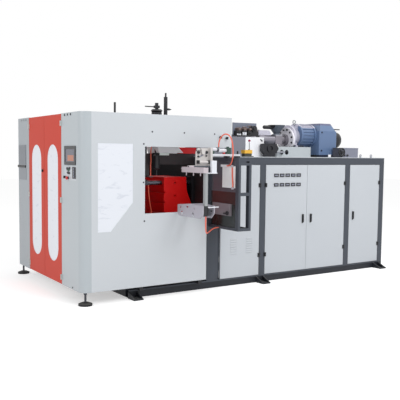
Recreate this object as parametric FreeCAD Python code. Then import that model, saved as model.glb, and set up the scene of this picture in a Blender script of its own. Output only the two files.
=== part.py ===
import FreeCAD, Part
import math
import os

V = FreeCAD.Vector
X, Y, Z = V(1, 0, 0), V(0, 1, 0), V(0, 0, 1)

# Blow moulding machine, in millimetres. While it is modelled, x runs to the right from the
# left face of the clamp housing, y runs back from the front of the cabinet, z is up from the floor.

# Welded frame of square tube, with the cabinet's posts and bays
tube = 90.0
tube_wall = 4.0
frame_left = 600.0
frame_right = 4655.0
cabinet_depth = 1950.0
cabinet_height = 1560.0
top_sheet = 6.0
clamp_beam_x = 1500.0
post_one_x = 1620.0
post_one_width = 154.0
closing_strip = 40.0
post_two_x = 2407.0
post_three_x = frame_right - 772.0
foot_places = (frame_left + 45.0, post_two_x + 15.0, frame_right - 125.0)
foot_width = 116.0
foot_reach = 152.0
foot_plate = 12.0
foot_gusset = 76.0
anchor_hole = 9.0

# Cabinet doors, their block hinges and swing handles
door_gap = 4.0
door_sheet = 2.0
door_fold = 24.0
hinge_radius = 8.0
hinge_pin = 4.0
hinge_leaf = 20.0
hinge_leaf_thick = 5.0
hinge_height = 50.0
hinge_low_z = 342.0
hinge_high_z = cabinet_height - 344.0
running = 0.05
handle_length = 96.0
handle_width = 22.0
handle_stand = 16.0
spindle = 6.0
handle_z = 815.0
handle_inset = 72.0
meter_width = 72.0
meter_height = 42.0
meter_proud = 7.0
meter_pitch = 93.0
meter_first_x = post_two_x + 258.0
meter_rows = (cabinet_height - 224.0, cabinet_height - 345.0)
meters_in_row = 5
louvre_width = 96.0
louvre_height = 12.0
louvre_proud = 7.0
louvre_pitch = 29.0
louvres = 7
louvre_low_z = 385.0
louvre_columns = (post_two_x - 396.0, post_two_x - 155.0)

# Sheet housing round the clamp
housing_front = -108.0
housing_back = 2058.0
housing_low = 136.0
housing_top = cabinet_height + 460.0
housing_round = 90.0
column_reach = 112.0
housing_sheet = 3.0
housing_fold = 25.0
opening_left = 735.0
opening_low = 940.0
opening_high = cabinet_height + 109.0
lower_panel_right = 1544.0
band_right = 1883.0
housing_tube = 45.0
housing_tube_inset = 62.0
mast_height = 120.0
window_left = 184.0
window_right = 592.0
window_low = 765.0
window_knee = 1069.0
window_knee_x = 332.0
window_high = housing_top - 322.0
window_lap = 20.0
window_thick = 5.0

# Two red doors in the left end, with slot windows
end_opening_front = 449.0
end_opening_back = 1554.0
end_door_fold = 26.0
slot_width = 338.0
slot_low = 363.0
slot_high = housing_top - 335.0
end_hinge_height = 58.0
end_hinge_levels = (222.0, 1076.0, housing_top - 107.0)
latch_z = 1381.0
latch_radius = 17.0
latch_inset = 48.0
latch_cam = 64.0
leaf_gap = 6.0

# Levelling feet under the housing
foot_disc = 74.0
foot_disc_height = 33.0
foot_stem = 12.0
foot_nut = 19.0

# Operator's panel on the front column
screen_y = (33.0, 348.0)
screen_z = (1465.0, 1666.0)
screen_bezel = 8.0
screen_border = 34.0
screen_depth = 60.0
lamp_strip_z = (1322.0, 1446.0)
button_radius = 11.0
button_reach = 11.0
button_travel = 3.0
start_at = (225.0, 1412.0)
lamp_pitch = 43.0
switch_at = (335.0, 1332.0)
stop_at = (245.0, 1326.0)
stop_radius = 20.0
stem_radius = 6.0

# Clamp unit: stand, rails, shuttle carriage, tie bars and platens
mould_x = 1060.0
half_daylight = 145.0
clamp_y = 550.0
platen_depth = 500.0
platen_low = 720.0
platen_high = 1318.0
platen_face = 55.0
platen_top_reach = 305.0
platen_foot_reach = 385.0
platen_knee_z = 1150.0
platen_toe_z = 990.0
platen_web = 30.0
tie_radius = 25.0
tie_inset_y = 72.0
tie_inset_z = 70.0
end_plate = 25.0
carriage_z = 665.0
carriage_plate = 35.0
rail_width = 34.0
rail_height = 34.0
rail_front = -40.0
rail_back = 1110.0
truck_height = 26.0
bed_height = 120.0
cylinder_radius = 90.0
cylinder_bore = 70.0
cylinder_length = 310.0
ram_radius = 40.0
clamp_z = 1010.0

# Blow station at the front: bridge, blow pin and its height adjuster
blow_y = 225.0
bridge_y = 300.0
bridge_depth = 110.0
bridge_low = cabinet_height - 93.0
bridge_high = cabinet_height + 37.0
bridge_column_x = 98.0
bridge_column = 72.0
carrier_thickness = 75.0
carrier_high = bridge_high + carrier_thickness
carrier_relief = bridge_high + 7.0
carrier_front = 140.0
carrier_span = (1027.0, 1380.0)
casting_span = (1380.0, 1614.0)
pin_body_radius = 42.0
pin_body_low = bridge_low - 42.0
pin_tip_radius = 13.0
pin_collar = bridge_high - 25.0
pin_tip_low = pin_body_low - 80.0
guide_plate = 27.0
blow_stroke = 180.0
pin_barrel_radius = 45.0
pin_barrel_high = carrier_high + 394.0
piston_rod = 20.0
wheel_radius = 68.0
wheel_z = pin_barrel_high + 0.3
wheel_height = 34.0
spindle_top = pin_barrel_high + 107.0
guide_offset = 118.0
guide_radius = 22.0
guide_high = pin_barrel_high + 181.0
guide_top = guide_high + 46.0

# Extruder on the cabinet: die head, barrel, hopper and drive
cabinet_top = cabinet_height + top_sheet
extruder_y = 780.0
extruder_z = cabinet_top + 240.0
head_radius = 120.0
head_low = cabinet_height - 90.0
head_high = cabinet_height + 400.0
lip_radius = 62.0
lip_drop = 38.0
barrel_radius = 58.0
screw_radius = 29.0
screw_root = 20.0
screw_pitch = 60.0
flight_width = 8.0
band_grip = 12.0
band_width = 150.0
band_count = 5
gear_case_x = (frame_right - 740.0, frame_right - 400.0)
motor_x = gear_case_x[0] - 275.0
flange_x = motor_x - 174.0
flange_radius = 175.0
flange_thick = 34.0
flange_bolts = 12
bolt_circle = 147.0
bolt_radius = 13.0
throat_x = flange_x - 166.0
throat_size = 124.0
hopper_low = extruder_z + 70.0
hopper_high = hopper_low + 135.0
hopper_mouth = 118.0
hopper_neck = 42.0
hopper_wall = 3.0
pedestal_x = (throat_x - 150.0, throat_x + 475.0)
pedestal_y = (580.0, 980.0)
pedestal_top = cabinet_top + 141.0
pedestal_holes = (87.0, 179.0)
neck_radius = 116.0
neck_z = extruder_z + 47.0
motor_z = extruder_z + 74.0
motor_radius = 150.0
motor_fin = 15.0
motor_fins = 22
gear_case_y = (550.0, 1010.0)
gear_case_low = cabinet_top + 34.0
gear_case_high = gear_case_low + 342.0
gear_case_cap = gear_case_high + 111.0
cowl_radius = 128.0
cowl_length = 228.0
cover_x = (throat_x - 676.0, throat_x - 363.0)
cover_y = (600.0, 960.0)
cover_high = extruder_z + 22.0
cover_flare = 74.0
cover_flare_z = cabinet_top + 71.0
grey_cover_left = 1900.0
duct_x = (cover_x[1] + 24.0, cover_x[1] + 237.0)
duct_half_width = 36.0
duct_high = extruder_z + 126.0
blower_x = (throat_x - 447.0, throat_x - 220.0)
blower_y = (500.0, 574.0)
blower_low = cabinet_top + 45.0
blower_bulge = 35.0
manifold_x = (throat_x - 820.0, throat_x - 420.0)
manifold_y = (cover_y[0] + 8.0, cover_y[0] + 108.0)
manifold_low = cover_high + 14.0
manifold_high = cover_high + 190.0
control_box_x = (frame_right - 505.0, frame_right - 164.0)
control_box_y = (350.0, 520.0)
control_box_high = cabinet_top + 138.0
lift_eyes_x = (frame_right - 325.0, frame_right - 110.0)
valve_x = (2170.0, 2288.0)
valve_y = (20.0, 80.0)
valve_high = cabinet_top + 84.0
lever_x = 2267.0
lever_top = valve_high + 102.0
lever_pivot = 9.0
lever_rod = 4.0
knob_radius = 16.0

# Guard beside the outlet, the take-out unit and the air service unit
guard_x = (1645.0, 1821.0)
guard_front = -585.0
guard_low = 742.0
guard_high = cabinet_height
guard_bar = 30.0
guard_front_bar = 57.0
guard_sheet = 4.0
guard_middle = (1135.0, 1171.0)
guard_head = (guard_high - 87.0, guard_high - 58.0)
guard_top_bar = 40.0
terminal_y = (-444.0, -86.0)
terminal_z = (902.0, 1037.0)
terminal_depth = 20.0
ledge_x = 1407.0
ledge_y = (-370.0, -290.0)
ledge_packer = 15.0
ledge_thick = 22.0
carrier_x = (1238.0, 1407.0)
carrier_thick = 12.0
carrier_low = cabinet_height - 93.0
carrier_top = carrier_low + 193.0
carrier_post = 26.0
rail_x = (1150.0, 1462.0)
rail_plate_x = (1462.0, 1516.0)
arm_x = 1145.0
arm_width = 60.0
arm_y = (-640.0, -198.0)
arm_high = carrier_low - 15.0
arm_low = arm_high - 58.0
post_width = 32.0
post_depth = 40.0
deflash_y = (-640.0, -118.0)
deflash_low = 908.0
deflash_high = 1056.0
deflash_thick = 8.0
deflash_gap = 140.0
jaw_travel = 18.0
slide_y = -336.0
hose_socket_z = 936.0
hose_socket_y = (-634.0, -584.0)
spacers = ((-590.0, 985.0), (-330.0, 950.0))
product_holes = ((-178.0, 1004.0, 14.0), (-206.0, 942.0, 24.0), (-436.0, 938.0, 26.0), (-462.0, 1006.0, 15.0))
hose_radius = 7.0
thin_hose_radius = 6.5
hose_unions = (((-372.0, -262.0), guard_high - 107.0, 34.0), ((-470.0, -446.0), guard_high - 110.0, 26.0),
               ((-484.0, -460.0), guard_high - 356.0, 26.0))
feed_elbows = ((1718.0, housing_top - 229.0), (1807.0, housing_top - 237.0))

frame_inset = housing_fold + housing_tube / 2 + 0.3
fit = 0.3


def block(x, y, z):
    return Part.makeBox(x[1] - x[0], y[1] - y[0], z[1] - z[0], V(x[0], y[0], z[0]))


def rod(radius, start, axis, length):
    return Part.makeCylinder(radius, length, V(*start), axis)


def ring(outer, inner, start, axis, length):
    return rod(outer, start, axis, length).cut(rod(inner, start, axis, length))


def fuse(shapes):
    return shapes[0].fuse(shapes[1:]).removeSplitter() if len(shapes) > 1 else shapes[0]


def group(shapes):
    return Part.makeCompound(shapes)


def face_of(points):
    return Part.Face(Part.makePolygon(points + [points[0]]))


def in_xz(points, y):
    return [V(x, y, z) for x, z in points]


def in_yz(points, x):
    return [V(x, y, z) for y, z in points]


def in_xy(points, z):
    return [V(x, y, z) for x, y in points]


def square_tube(x, y, z, along):
    # a square tube, open at both ends
    spans = []
    for axis, span in (("x", x), ("y", y), ("z", z)):
        inner = span if axis == along else (span[0] + tube_wall, span[1] - tube_wall)
        spans.append(inner)
    return block(x, y, z).cut(block(*spans))


def folded_panel(points, inward, fold, sheet):
    # a sheet with every edge folded back, as a pan open behind
    face = face_of(points)
    hollow = face.makeOffset2D(-sheet, 2)
    hollow.translate(inward * sheet)
    return face.extrude(inward * fold).cut(hollow.extrude(inward * fold))


def round_upright(shape, x, y, radius):
    # rounds the vertical edge that stands at x, y
    edges = [e for e in shape.Edges if all(abs(v.X - x) < 0.01 and abs(v.Y - y) < 0.01 for v in e.Vertexes)]
    return shape.makeFillet(radius, edges)


def turned(profile, at, axis):
    # a body turned from (radius, height) points about its own axis
    points = [V(r, 0, h) for r, h in profile]
    solid = face_of(points).revolve(V(0, 0, 0), Z, 360)
    solid.Placement = FreeCAD.Placement(V(*at), FreeCAD.Rotation(Z, axis))
    return solid


def lifting_eye(radius, thick, at):
    # a ring that stands on its rim, with its hole to the front
    profile = [(radius - thick, -thick / 2), (radius, -thick), (radius + thick, -thick / 2),
               (radius + thick, thick / 2), (radius, thick), (radius - thick, thick / 2)]
    return turned(profile, at, Y)


def to_left_end(shape, y):
    # turns something made for the front face, so that it faces left with its x = 0 at y
    shape.rotate(V(0, 0, 0), Z, -90)
    shape.translate(V(0, y, 0))
    return shape


def from_height(high, points):
    # a hose's route, whose points give their height from the piece that carries the hose
    return [(x, y, high + z) for x, y, z in points]


hose_routes = {
    "hose_arch": from_height(guard_high, [
        (1548, -330, 116), (1548, -330, 158), (1557, -335, 198), (1570, -354, 237), (1588, -392, 262),
        (1607, -434, 254), (1622, -464, 216), (1631, -477, 162), (1635, -483, 98), (1634, -487, 34),
        (1633, -481, -18), (1634, -460, -64), (1634, -418, -94), (1634, -372, -94)]),
    "hose_drop": from_height(guard_high, [
        (1646, -458, -110), (1646, -458, -150), (1645, -461, -196), (1644, -467, -244), (1646, -472, -290),
        (1646, -472, -330)]),
    "hose_gripper": from_height(0, [
        (1192, -621, 936), (1192, -621, 888), (1196, -614, 838), (1212, -593, 792), (1244, -552, 758),
        (1290, -492, 736), (1346, -414, 722), (1412, -332, 715), (1476, -262, 716), (1524, -226, 726),
        (1570, -207, 742), (1612, -205, 752), (1645, -205, 752)]),
    "hose_blow_pin": from_height(carrier_high, [
        (989, 216, 28), (989, 216, -10), (978, 208, -52), (974, 202, -107), (975, 200, -162),
        (971, 202, -222), (974, 206, -286), (974, 206, -338)]),
    "hose_platen": from_height(platen_high, [
        (992, 290, -90), (992, 290, -138), (997, 288, -198), (1003, 286, -258), (1013, 286, -318),
        (1026, 287, -374), (1031, 289, -426), (1018, 290, -478), (990, 290, -510), (950, 290, -518),
        (920, 290, -518)]),
}
thin_hoses = ("hose_blow_pin", "hose_platen")


# Frame and cabinet

def post_spans():
    return [(post_one_x, post_one_x + post_one_width), (post_two_x, post_two_x + tube),
            (post_three_x, post_three_x + tube), (frame_right - tube, frame_right)]


def beam_spans():
    return [(frame_left, frame_left + tube), (clamp_beam_x, clamp_beam_x + tube),
            (post_two_x, post_two_x + tube), (post_three_x, post_three_x + tube),
            (frame_right - tube, frame_right)]


def foot_bracket(x, y, outward):
    # a floor plate with two gussets, welded to the sill and drilled for an anchor
    far = y + outward * foot_reach
    left, right = x - foot_width / 2, x + foot_width / 2
    plate = block((left, right), sorted((y, far)), (0, foot_plate))
    plate = plate.cut(rod(anchor_hole, (x, y + outward * foot_reach * 0.6, 0), Z, foot_plate))
    parts = [plate]
    for edge in (left, right - foot_plate):
        outline = [(y, foot_plate), (far, foot_plate), (y, foot_gusset)]
        parts.append(face_of(in_yz(outline, edge)).extrude(X * foot_plate))
    return fuse(parts)


def base_frame():
    parts = []
    for y in (0, cabinet_depth - tube):
        parts.append(square_tube((frame_left, frame_right), (y, y + tube), (0, tube), "x"))
    for x in beam_spans():
        parts.append(square_tube(x, (tube, cabinet_depth - tube), (0, tube), "y"))
    for x in foot_places:
        parts.append(foot_bracket(x, 0, -1))
        parts.append(foot_bracket(x, cabinet_depth, 1))
    return group(parts)


def cabinet_frame():
    under = cabinet_height - tube
    parts = []
    for y in ((0, tube), (cabinet_depth - tube, cabinet_depth)):
        for x in post_spans():
            parts.append(square_tube(x, y, (tube, under), "z"))
        parts.append(square_tube((post_one_x, frame_right), y, (under, cabinet_height), "x"))
    for x in post_spans():
        parts.append(square_tube(x, (tube, cabinet_depth - tube), (under, cabinet_height), "y"))
    strip_x = post_one_x + post_one_width
    parts.append(block((strip_x, strip_x + closing_strip), (tube / 4, tube), (tube, under)))
    return group(parts)


def lifting_eyes():
    eyes = []
    for x in lift_eyes_x:
        foot = rod(16, (x, 150, cabinet_top), Z, 10)
        eyes.append(fuse([lifting_eye(15, 6, (x, 150, cabinet_top + 27)), foot]))
    return eyes


def bays():
    posts = post_spans()
    starts = [posts[0][1] + closing_strip, posts[1][1], posts[2][1]]
    return [(start, posts[i + 1][0]) for i, start in enumerate(starts)]


def door_levels():
    return tube + door_gap, cabinet_height - tube - door_gap


def bay_panel(x, y, inward):
    low, high = door_levels()
    outline = [(x[0], low), (x[1], low), (x[1], high), (x[0], high)]
    return folded_panel(in_xz(outline, y), inward, door_fold, door_sheet)


def cabinet_panels():
    # top plate, rear panels and the two end panels, each butted against its tubes
    parts = [block((post_one_x, frame_right), (0, cabinet_depth), (cabinet_height, cabinet_top))]
    rear = [(post_spans()[0][1], bays()[0][1])] + bays()[1:]
    for x in rear:
        parts.append(bay_panel((x[0] + fit, x[1] - fit), cabinet_depth, -Y))
    low, high = tube, cabinet_height - tube
    span = (tube + fit, cabinet_depth - tube - fit)
    for x, inward in ((post_one_x, X), (frame_right, -X)):
        outline = [(span[0], low), (span[1], low), (span[1], high), (span[0], high)]
        parts.append(folded_panel(in_yz(outline, x), inward, door_fold, door_sheet))
    return group(parts + lifting_eyes())


# Hinges and doors: a door is made as seen from the front, with its face at y = 0

def hinge(x, z, height, side, moving):
    # one half of a block hinge whose pin stands in front of the face, with the door on the given side
    pin_y = -hinge_radius - 0.5
    half = height / 2
    bottom = z - half if not moving else z + fit
    knuckle = rod(hinge_radius, (x, pin_y, bottom), Z, half - fit)
    hand = side if moving else -side
    near = x + hand * (hinge_radius + 1)
    far = x + hand * hinge_leaf
    leaf = block(sorted((near, far)), (-hinge_leaf_thick, 0), (z - half, z + half))
    web = block(sorted((x, near)), (-hinge_leaf_thick, 0), (bottom, bottom + half - fit))
    whole = fuse([knuckle, web, leaf])
    if moving:
        return whole.cut(rod(hinge_pin + running, (x, pin_y, z), Z, half))
    return whole.fuse(rod(hinge_pin, (x, pin_y, z - half), Z, height - fit)).removeSplitter()


def door_sheet_pan(x, z, fold):
    outline = [(x[0], z[0]), (x[1], z[0]), (x[1], z[1]), (x[0], z[1])]
    return folded_panel(in_xz(outline, 0), Y, fold, door_sheet)


def handle_plate(x):
    # the fixed plate of a swing handle, over a hole for the spindle
    low = handle_z - handle_length - handle_width / 2
    plate = block((x - handle_width / 2, x + handle_width / 2), (-5, 0), (low, handle_z))
    return plate.fuse(rod(handle_width / 2, (x, -5, handle_z), Y, 5))


def swing_handle(x):
    # spindle through the door, boss and lever, all turning together
    face = -5 - fit
    spin = rod(spindle, (x, face, handle_z), Y, 5 + fit + door_fold)
    boss = rod(handle_width / 2 - 1, (x, face - handle_stand, handle_z), Y, handle_stand)
    half = handle_width / 2 - 2
    low = handle_z - handle_length
    outline = [(face - handle_stand, handle_z), (face - handle_stand, low), (face - 7, low),
               (face - 9, handle_z)]
    lever = face_of(in_yz(outline, x - half)).extrude(X * 2 * half)
    return fuse([spin, boss, lever])


def hinge_x(bay, side):
    # the pin stands over the middle of the gap between the post and the door
    return bay[0] + door_gap / 2 if side > 0 else bay[1] - door_gap / 2


def bay_door(bay, side, handle_x):
    low, high = door_levels()
    door = door_sheet_pan((bay[0] + door_gap, bay[1] - door_gap), (low, high), door_fold)
    parts = [door, handle_plate(handle_x)]
    for z in (hinge_low_z, hinge_high_z):
        parts.append(hinge(hinge_x(bay, side), z, hinge_height, side, True))
    return fuse(parts).cut(rod(spindle + running, (handle_x, -20, handle_z), Y, 60))


def door_bays():
    # the bay, hinge side and handle place of each cabinet door, from left to right
    first, middle, last = bays()
    centre = (middle[0] + middle[1]) / 2
    left_leaf, right_leaf = (middle[0], centre + door_gap / 2), (centre - door_gap / 2, middle[1])
    return [(first, -1, first[0] + handle_inset), (left_leaf, 1, left_leaf[1] - handle_inset),
            (right_leaf, -1, right_leaf[0] + handle_inset), (last, -1, last[0] + handle_inset)]


def louvre(x, z):
    # a pressed hood over a slot, open downwards
    half = louvre_width / 2
    outline = [(0, z + louvre_height), (-louvre_proud, z), (-louvre_proud + 1.5, z),
               (0, z + louvre_height - 3)]
    return face_of(in_yz(outline, x - half)).extrude(X * louvre_width)


def louvre_door():
    bay, side, handle_x = door_bays()[0]
    door = bay_door(bay, side, handle_x)
    hoods, slots = [], []
    for x in louvre_columns:
        for i in range(louvres):
            z = louvre_low_z + i * louvre_pitch
            hoods.append(louvre(x, z))
            half = louvre_width / 2 - 2
            slots.append(block((x - half, x + half), (0, door_sheet), (z, z + louvre_height - 5)))
    return fuse([door.cut(group(slots))] + hoods)


def meter_door():
    bay, side, handle_x = door_bays()[1]
    parts = [bay_door(bay, side, handle_x)]
    for z in meter_rows:
        for i in range(meters_in_row):
            x = meter_first_x + i * meter_pitch
            span_x = (x - meter_width / 2, x + meter_width / 2)
            body = block(span_x, (-meter_proud, 0), (z - meter_height / 2, z + meter_height / 2))
            face = block((span_x[0] + 6, span_x[1] - 6), (-meter_proud, -meter_proud + 2),
                         (z - meter_height / 2 + 6, z + meter_height / 2 - 6))
            parts.append(body.cut(face))
    return fuse(parts)


# Clamp housing

def housing_front_panel():
    left, front, low, top = column_reach, housing_front, housing_low, housing_top
    outline = [(left, low), (lower_panel_right, low), (lower_panel_right, opening_low),
               (opening_left, opening_low), (opening_left, opening_high), (band_right, opening_high),
               (band_right, top), (left, top)]
    panel = folded_panel(in_xz(outline, front), Y, housing_fold, housing_sheet)
    window = face_of(in_xz(window_outline(), front - 1)).extrude(Y * (housing_sheet + 2))
    return panel.cut(window)


def window_outline():
    return [(window_left, window_low), (window_knee_x, window_low), (window_right, window_knee),
            (window_right, window_high), (window_left, window_high)]


def front_window():
    behind = housing_front + housing_sheet
    pane = face_of(in_xz(window_outline(), behind)).makeOffset2D(window_lap, 2)
    return pane.extrude(Y * window_thick)


def column_sheet(y, return_y):
    # a sheet bent round the housing's corner, with a fold where the doors meet it
    low, top, t = housing_low, housing_top, housing_sheet
    span = sorted((y, return_y))
    outer = round_upright(block((0, column_reach), span, (low, top)), 0, y, housing_round)
    inward = t if return_y > y else -t
    inner = block((t, column_reach + t), sorted((y + inward, return_y + inward)), (low - 1, top + 1))
    inner = round_upright(inner, t, y + inward, housing_round - t)
    sheet = outer.cut(inner)
    lip = block((0, housing_fold), sorted((return_y, return_y - inward)), (low, top))
    return fuse([sheet, lip])


def housing_corner_columns():
    front = column_sheet(housing_front, end_opening_front)
    back = column_sheet(housing_back, end_opening_back)
    border = screen_border / 2
    cut_out = block((-1, housing_sheet + 1), (screen_y[0] + border, screen_y[1] - border),
                    (screen_z[0] + border, screen_z[1] - border))
    front = front.cut(cut_out)
    for y, z in (start_at, switch_at, stop_at):
        front = front.cut(rod(stem_radius + running, (-1, y, z), X, housing_sheet + 2))
    return group([front, back])


def housing_rear_panels():
    # three sheets, one above another, folded like the front
    levels = (housing_low, opening_low, opening_high, housing_top)
    parts = []
    for low, high in zip(levels, levels[1:]):
        low = low + (fit if low > housing_low else 0)
        outline = [(column_reach, low), (band_right, low), (band_right, high), (column_reach, high)]
        parts.append(folded_panel(in_xz(outline, housing_back), -Y, housing_fold, housing_sheet))
    return group(parts)


def housing_frame():
    # light tube frame that carries the sheets, on two bearers across the sills
    t = housing_tube
    half = t / 2
    left = housing_tube_inset
    right = band_right - housing_sheet - half - fit
    front = housing_front + frame_inset
    back = housing_back - frame_inset
    low = tube + t
    high = housing_top - 10
    uprights = [(left, front), (left, back), (right, back)]
    parts = [block((x - half, x + half), (y - half, y + half), (low, high)) for x, y in uprights]
    for y in (front, back):
        parts.append(block((left + half, right + half if y == front else right - half),
                           (y - half, y + half), (high - t, high)))
    for x in (left, right):
        parts.append(block((x - half, x + half), (front + half, back - half), (high - t, high)))
    parts.append(block((left - half, left + half), (front + half, back - half), (low, low + t)))
    parts.append(block((left + half, lower_panel_right - t), (front - half, front + half), (low, low + t)))
    parts.append(block((left + half, right - half), (back - half, back + half), (low, low + t)))
    for x in bearer_spans():
        parts.append(block(x, (front - half, back + half), (tube, tube + t)))
    # two cross tubes that carry the column of the blow station
    for y in (bridge_y - 20, bridge_y + bridge_depth + 20 - t):
        parts.append(block((left + half, bearer_spans()[0][1]), (y, y + t), (low, low + t)))
    parts.append(block((opening_left, right + half), (front - half, front + half),
                       (opening_high + housing_sheet + fit, opening_high + housing_sheet + fit + t)))
    for x in (opening_left, right):
        low_x = x if x == opening_left else x - half
        parts.append(block((low_x, low_x + t), (front - half, front + half),
                           (opening_high + housing_sheet + fit + t, high - t)))
    parts.append(rod(half / 2, (mast_x(), front, high), Z, mast_height))
    return group(parts)



def mast_x():
    return (opening_left + housing_tube_inset) / 2


def bearer_spans():
    return [(frame_left + tube, frame_left + tube + housing_tube),
            (clamp_beam_x - housing_tube, clamp_beam_x)]


def levelling_feet():
    feet = []
    low = tube + housing_tube
    for y in (housing_front + frame_inset, housing_back - frame_inset):
        profile = [(0, 0), (foot_disc, 0), (foot_disc, foot_disc_height * 0.6),
                   (foot_disc * 0.55, foot_disc_height), (foot_stem, foot_disc_height),
                   (foot_stem, low - foot_nut), (foot_nut, low - foot_nut), (foot_nut, low), (0, low)]
        feet.append(turned(profile, (housing_tube_inset, y, 0), Z))
    return group(feet)


# Doors of the left end, made as seen from the front and then turned to face left

def end_door(width, pin_side, keyed):
    sheet = door_sheet_pan((0, width), (housing_low + door_gap, housing_top - door_gap), end_door_fold)
    slot = slot_shape(width / 2, slot_width, slot_low, slot_high, -1, door_sheet + 2)
    pin = -door_gap / 2 if pin_side < 0 else width + door_gap / 2
    parts = [sheet.cut(slot)]
    for z in end_hinge_levels:
        parts.append(hinge(pin, z, end_hinge_height, -pin_side, True))
    door = fuse(parts)
    if keyed:
        door = door.cut(rod(stem_radius + running, (latch_inset_rear(), -1, latch_z), Y, door_sheet + 2))
    return door


def slot_shape(x, width, low, high, y, depth):
    r = width / 2
    body = block((x - r, x + r), (y, y + depth), (low + r, high - r))
    return fuse([body, rod(r, (x, y, low + r), Y, depth), rod(r, (x, y, high - r), Y, depth)])


def end_leaf_width():
    return (end_opening_back - end_opening_front - leaf_gap) / 2 - door_gap


def end_window():
    return slot_shape(end_leaf_width() / 2, slot_width + 2 * window_lap,
                      slot_low - window_lap, slot_high + window_lap, door_sheet, window_thick)


def front_leaf(shape):
    # local x = 0 is the free edge, which lies at the middle of the opening
    return to_left_end(shape, end_opening_front + door_gap + end_leaf_width())


def rear_leaf(shape):
    return to_left_end(shape, end_opening_back - door_gap)


def end_door_latch():
    width = latch_radius
    # the cam stands upright when open, and turns behind the front leaf's fold
    stem = rod(stem_radius, (latch_inset_rear(), -fit, latch_z), Y, fit + end_door_fold + 7)
    cap = rod(width, (latch_inset_rear(), -fit - 6, latch_z), Y, 6)
    wing = block((latch_inset_rear() - 4, latch_inset_rear() + 4), (-fit - 16, -fit - 6),
                 (latch_z - width + 2, latch_z + width - 2))
    cam = block((latch_inset_rear() - 9, latch_inset_rear() + 9), (end_door_fold + 2, end_door_fold + 7),
                (latch_z - 9, latch_z + latch_cam))
    return rear_leaf(fuse([stem, cap, wing, cam]))


def latch_inset_rear():
    return end_leaf_width() - latch_inset


def door_hinges():
    # the fixed halves, on the posts and on the housing's corner columns
    halves = []
    for bay, side, _ in door_bays():
        for z in (hinge_low_z, hinge_high_z):
            halves.append(hinge(hinge_x(bay, side), z, hinge_height, side, False))
    width = end_leaf_width()
    for z in end_hinge_levels:
        halves.append(front_leaf(hinge(width + door_gap / 2, z, end_hinge_height, -1, False)))
        halves.append(rear_leaf(hinge(-door_gap / 2, z, end_hinge_height, 1, False)))
    return group(halves)


# Operator's panel

def operator_panel():
    bezel = block((-screen_bezel, 0), screen_y, screen_z)
    border = screen_border
    recess = block((-screen_bezel, -screen_bezel + 3), (screen_y[0] + border, screen_y[1] - border),
                   (screen_z[0] + border, screen_z[1] - border))
    inset = border / 2 + 0.5
    back = block((0, screen_depth), (screen_y[0] + inset, screen_y[1] - inset),
                 (screen_z[0] + inset, screen_z[1] - inset))
    rings = [ring(button_radius + 3, button_radius + 0.5, (-5, *start_at), X, 5),
             ring(stop_radius * 0.7, stem_radius + 0.5, (-5, *stop_at), X, 5)]
    strip = block((-2, 0), (screen_y[0], screen_y[0] + 100), lamp_strip_z)
    y, z = start_at
    lamps = [rod(9, (-7, y + lamp_pitch, z), X, 7), rod(9, (-7, y, z - 30), X, 7),
             rod(9, (-7, y + lamp_pitch, z - 30), X, 7)]
    return group([fuse([bezel.cut(recess), back]), strip] + rings + lamps)


def start_button():
    y, z = start_at
    gap = button_travel + fit
    reach = button_reach - gap
    profile = [(0, 0), (button_radius, 0), (button_radius, reach - 1.5), (button_radius - 1.5, reach),
               (0, reach)]
    cap = turned(profile, (-gap, y, z), -X)
    return fuse([cap, rod(stem_radius, (-gap, y, z), X, gap + 30)])


def emergency_stop():
    y, z = stop_at
    gap = 5 + button_travel + fit
    profile = [(0, 0), (stop_radius * 0.6, 0), (stop_radius, 7), (stop_radius, 13),
               (stop_radius * 0.75, 19), (0, 21)]
    head = turned(profile, (-gap, y, z), -X)
    return fuse([head, rod(stem_radius, (-gap, y, z), X, gap + 30)])


def mode_switch():
    y, z = switch_at
    base = rod(15, (-5 - fit, y, z), X, 5)
    grip = block((-22, -5 - fit), (y - 4, y + 4), (z - 14, z + 14))
    return fuse([base, grip, rod(stem_radius, (-fit, y, z), X, 30)])


# Clamp unit

def rail_lines():
    return [span[0] + tube / 2 for span in beam_spans()[:2]]


def bed_top():
    return carriage_z - truck_height - rail_height


def clamp_bed():
    # a stand on the frame's cross beams, with a linear rail along each side
    parts = []
    half = tube / 2
    leg_top = bed_top() - bed_height
    depth = rail_back - rail_front
    for x in rail_lines():
        parts.append(block((x - half, x + half), (rail_front, rail_back), (leg_top, bed_top())))
        for y in (tube + half, rail_front + depth * 0.55, rail_back - half):
            parts.append(block((x - half, x + half), (y - half, y + half), (tube, leg_top)))
    for y in (tube, rail_back - tube):
        span = (rail_lines()[0] + half, rail_lines()[1] - half)
        parts.append(block(span, (y, y + tube), (leg_top, leg_top + tube)))
    for x in rail_lines():
        parts.append(linear_rail(x))
    return group(parts)


def linear_rail(x):
    half, neck = rail_width / 2, rail_width / 4
    low, high = bed_top(), bed_top() + rail_height
    waist = low + rail_height * 0.5
    outline = [(x - half, low), (x + half, low), (x + half, waist - 4), (x + neck, waist),
               (x + half, waist + 8), (x + half, high), (x - half, high), (x - half, waist + 8),
               (x - neck, waist), (x - half, waist - 4)]
    return face_of(in_xz(outline, rail_front)).extrude(Y * (rail_back - rail_front))


def platen_span():
    return clamp_y - platen_depth / 2, clamp_y + platen_depth / 2


def tie_places():
    front, back = platen_span()
    ys = (front + tie_inset_y, back - tie_inset_y)
    zs = (platen_low + tie_inset_z, platen_high - tie_inset_z)
    return [(y, z) for y in ys for z in zs]


def end_plate_x():
    # the inner faces of the carriage's two end plates
    reach = half_daylight + platen_foot_reach + 4
    return mould_x - reach, mould_x + reach


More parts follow.
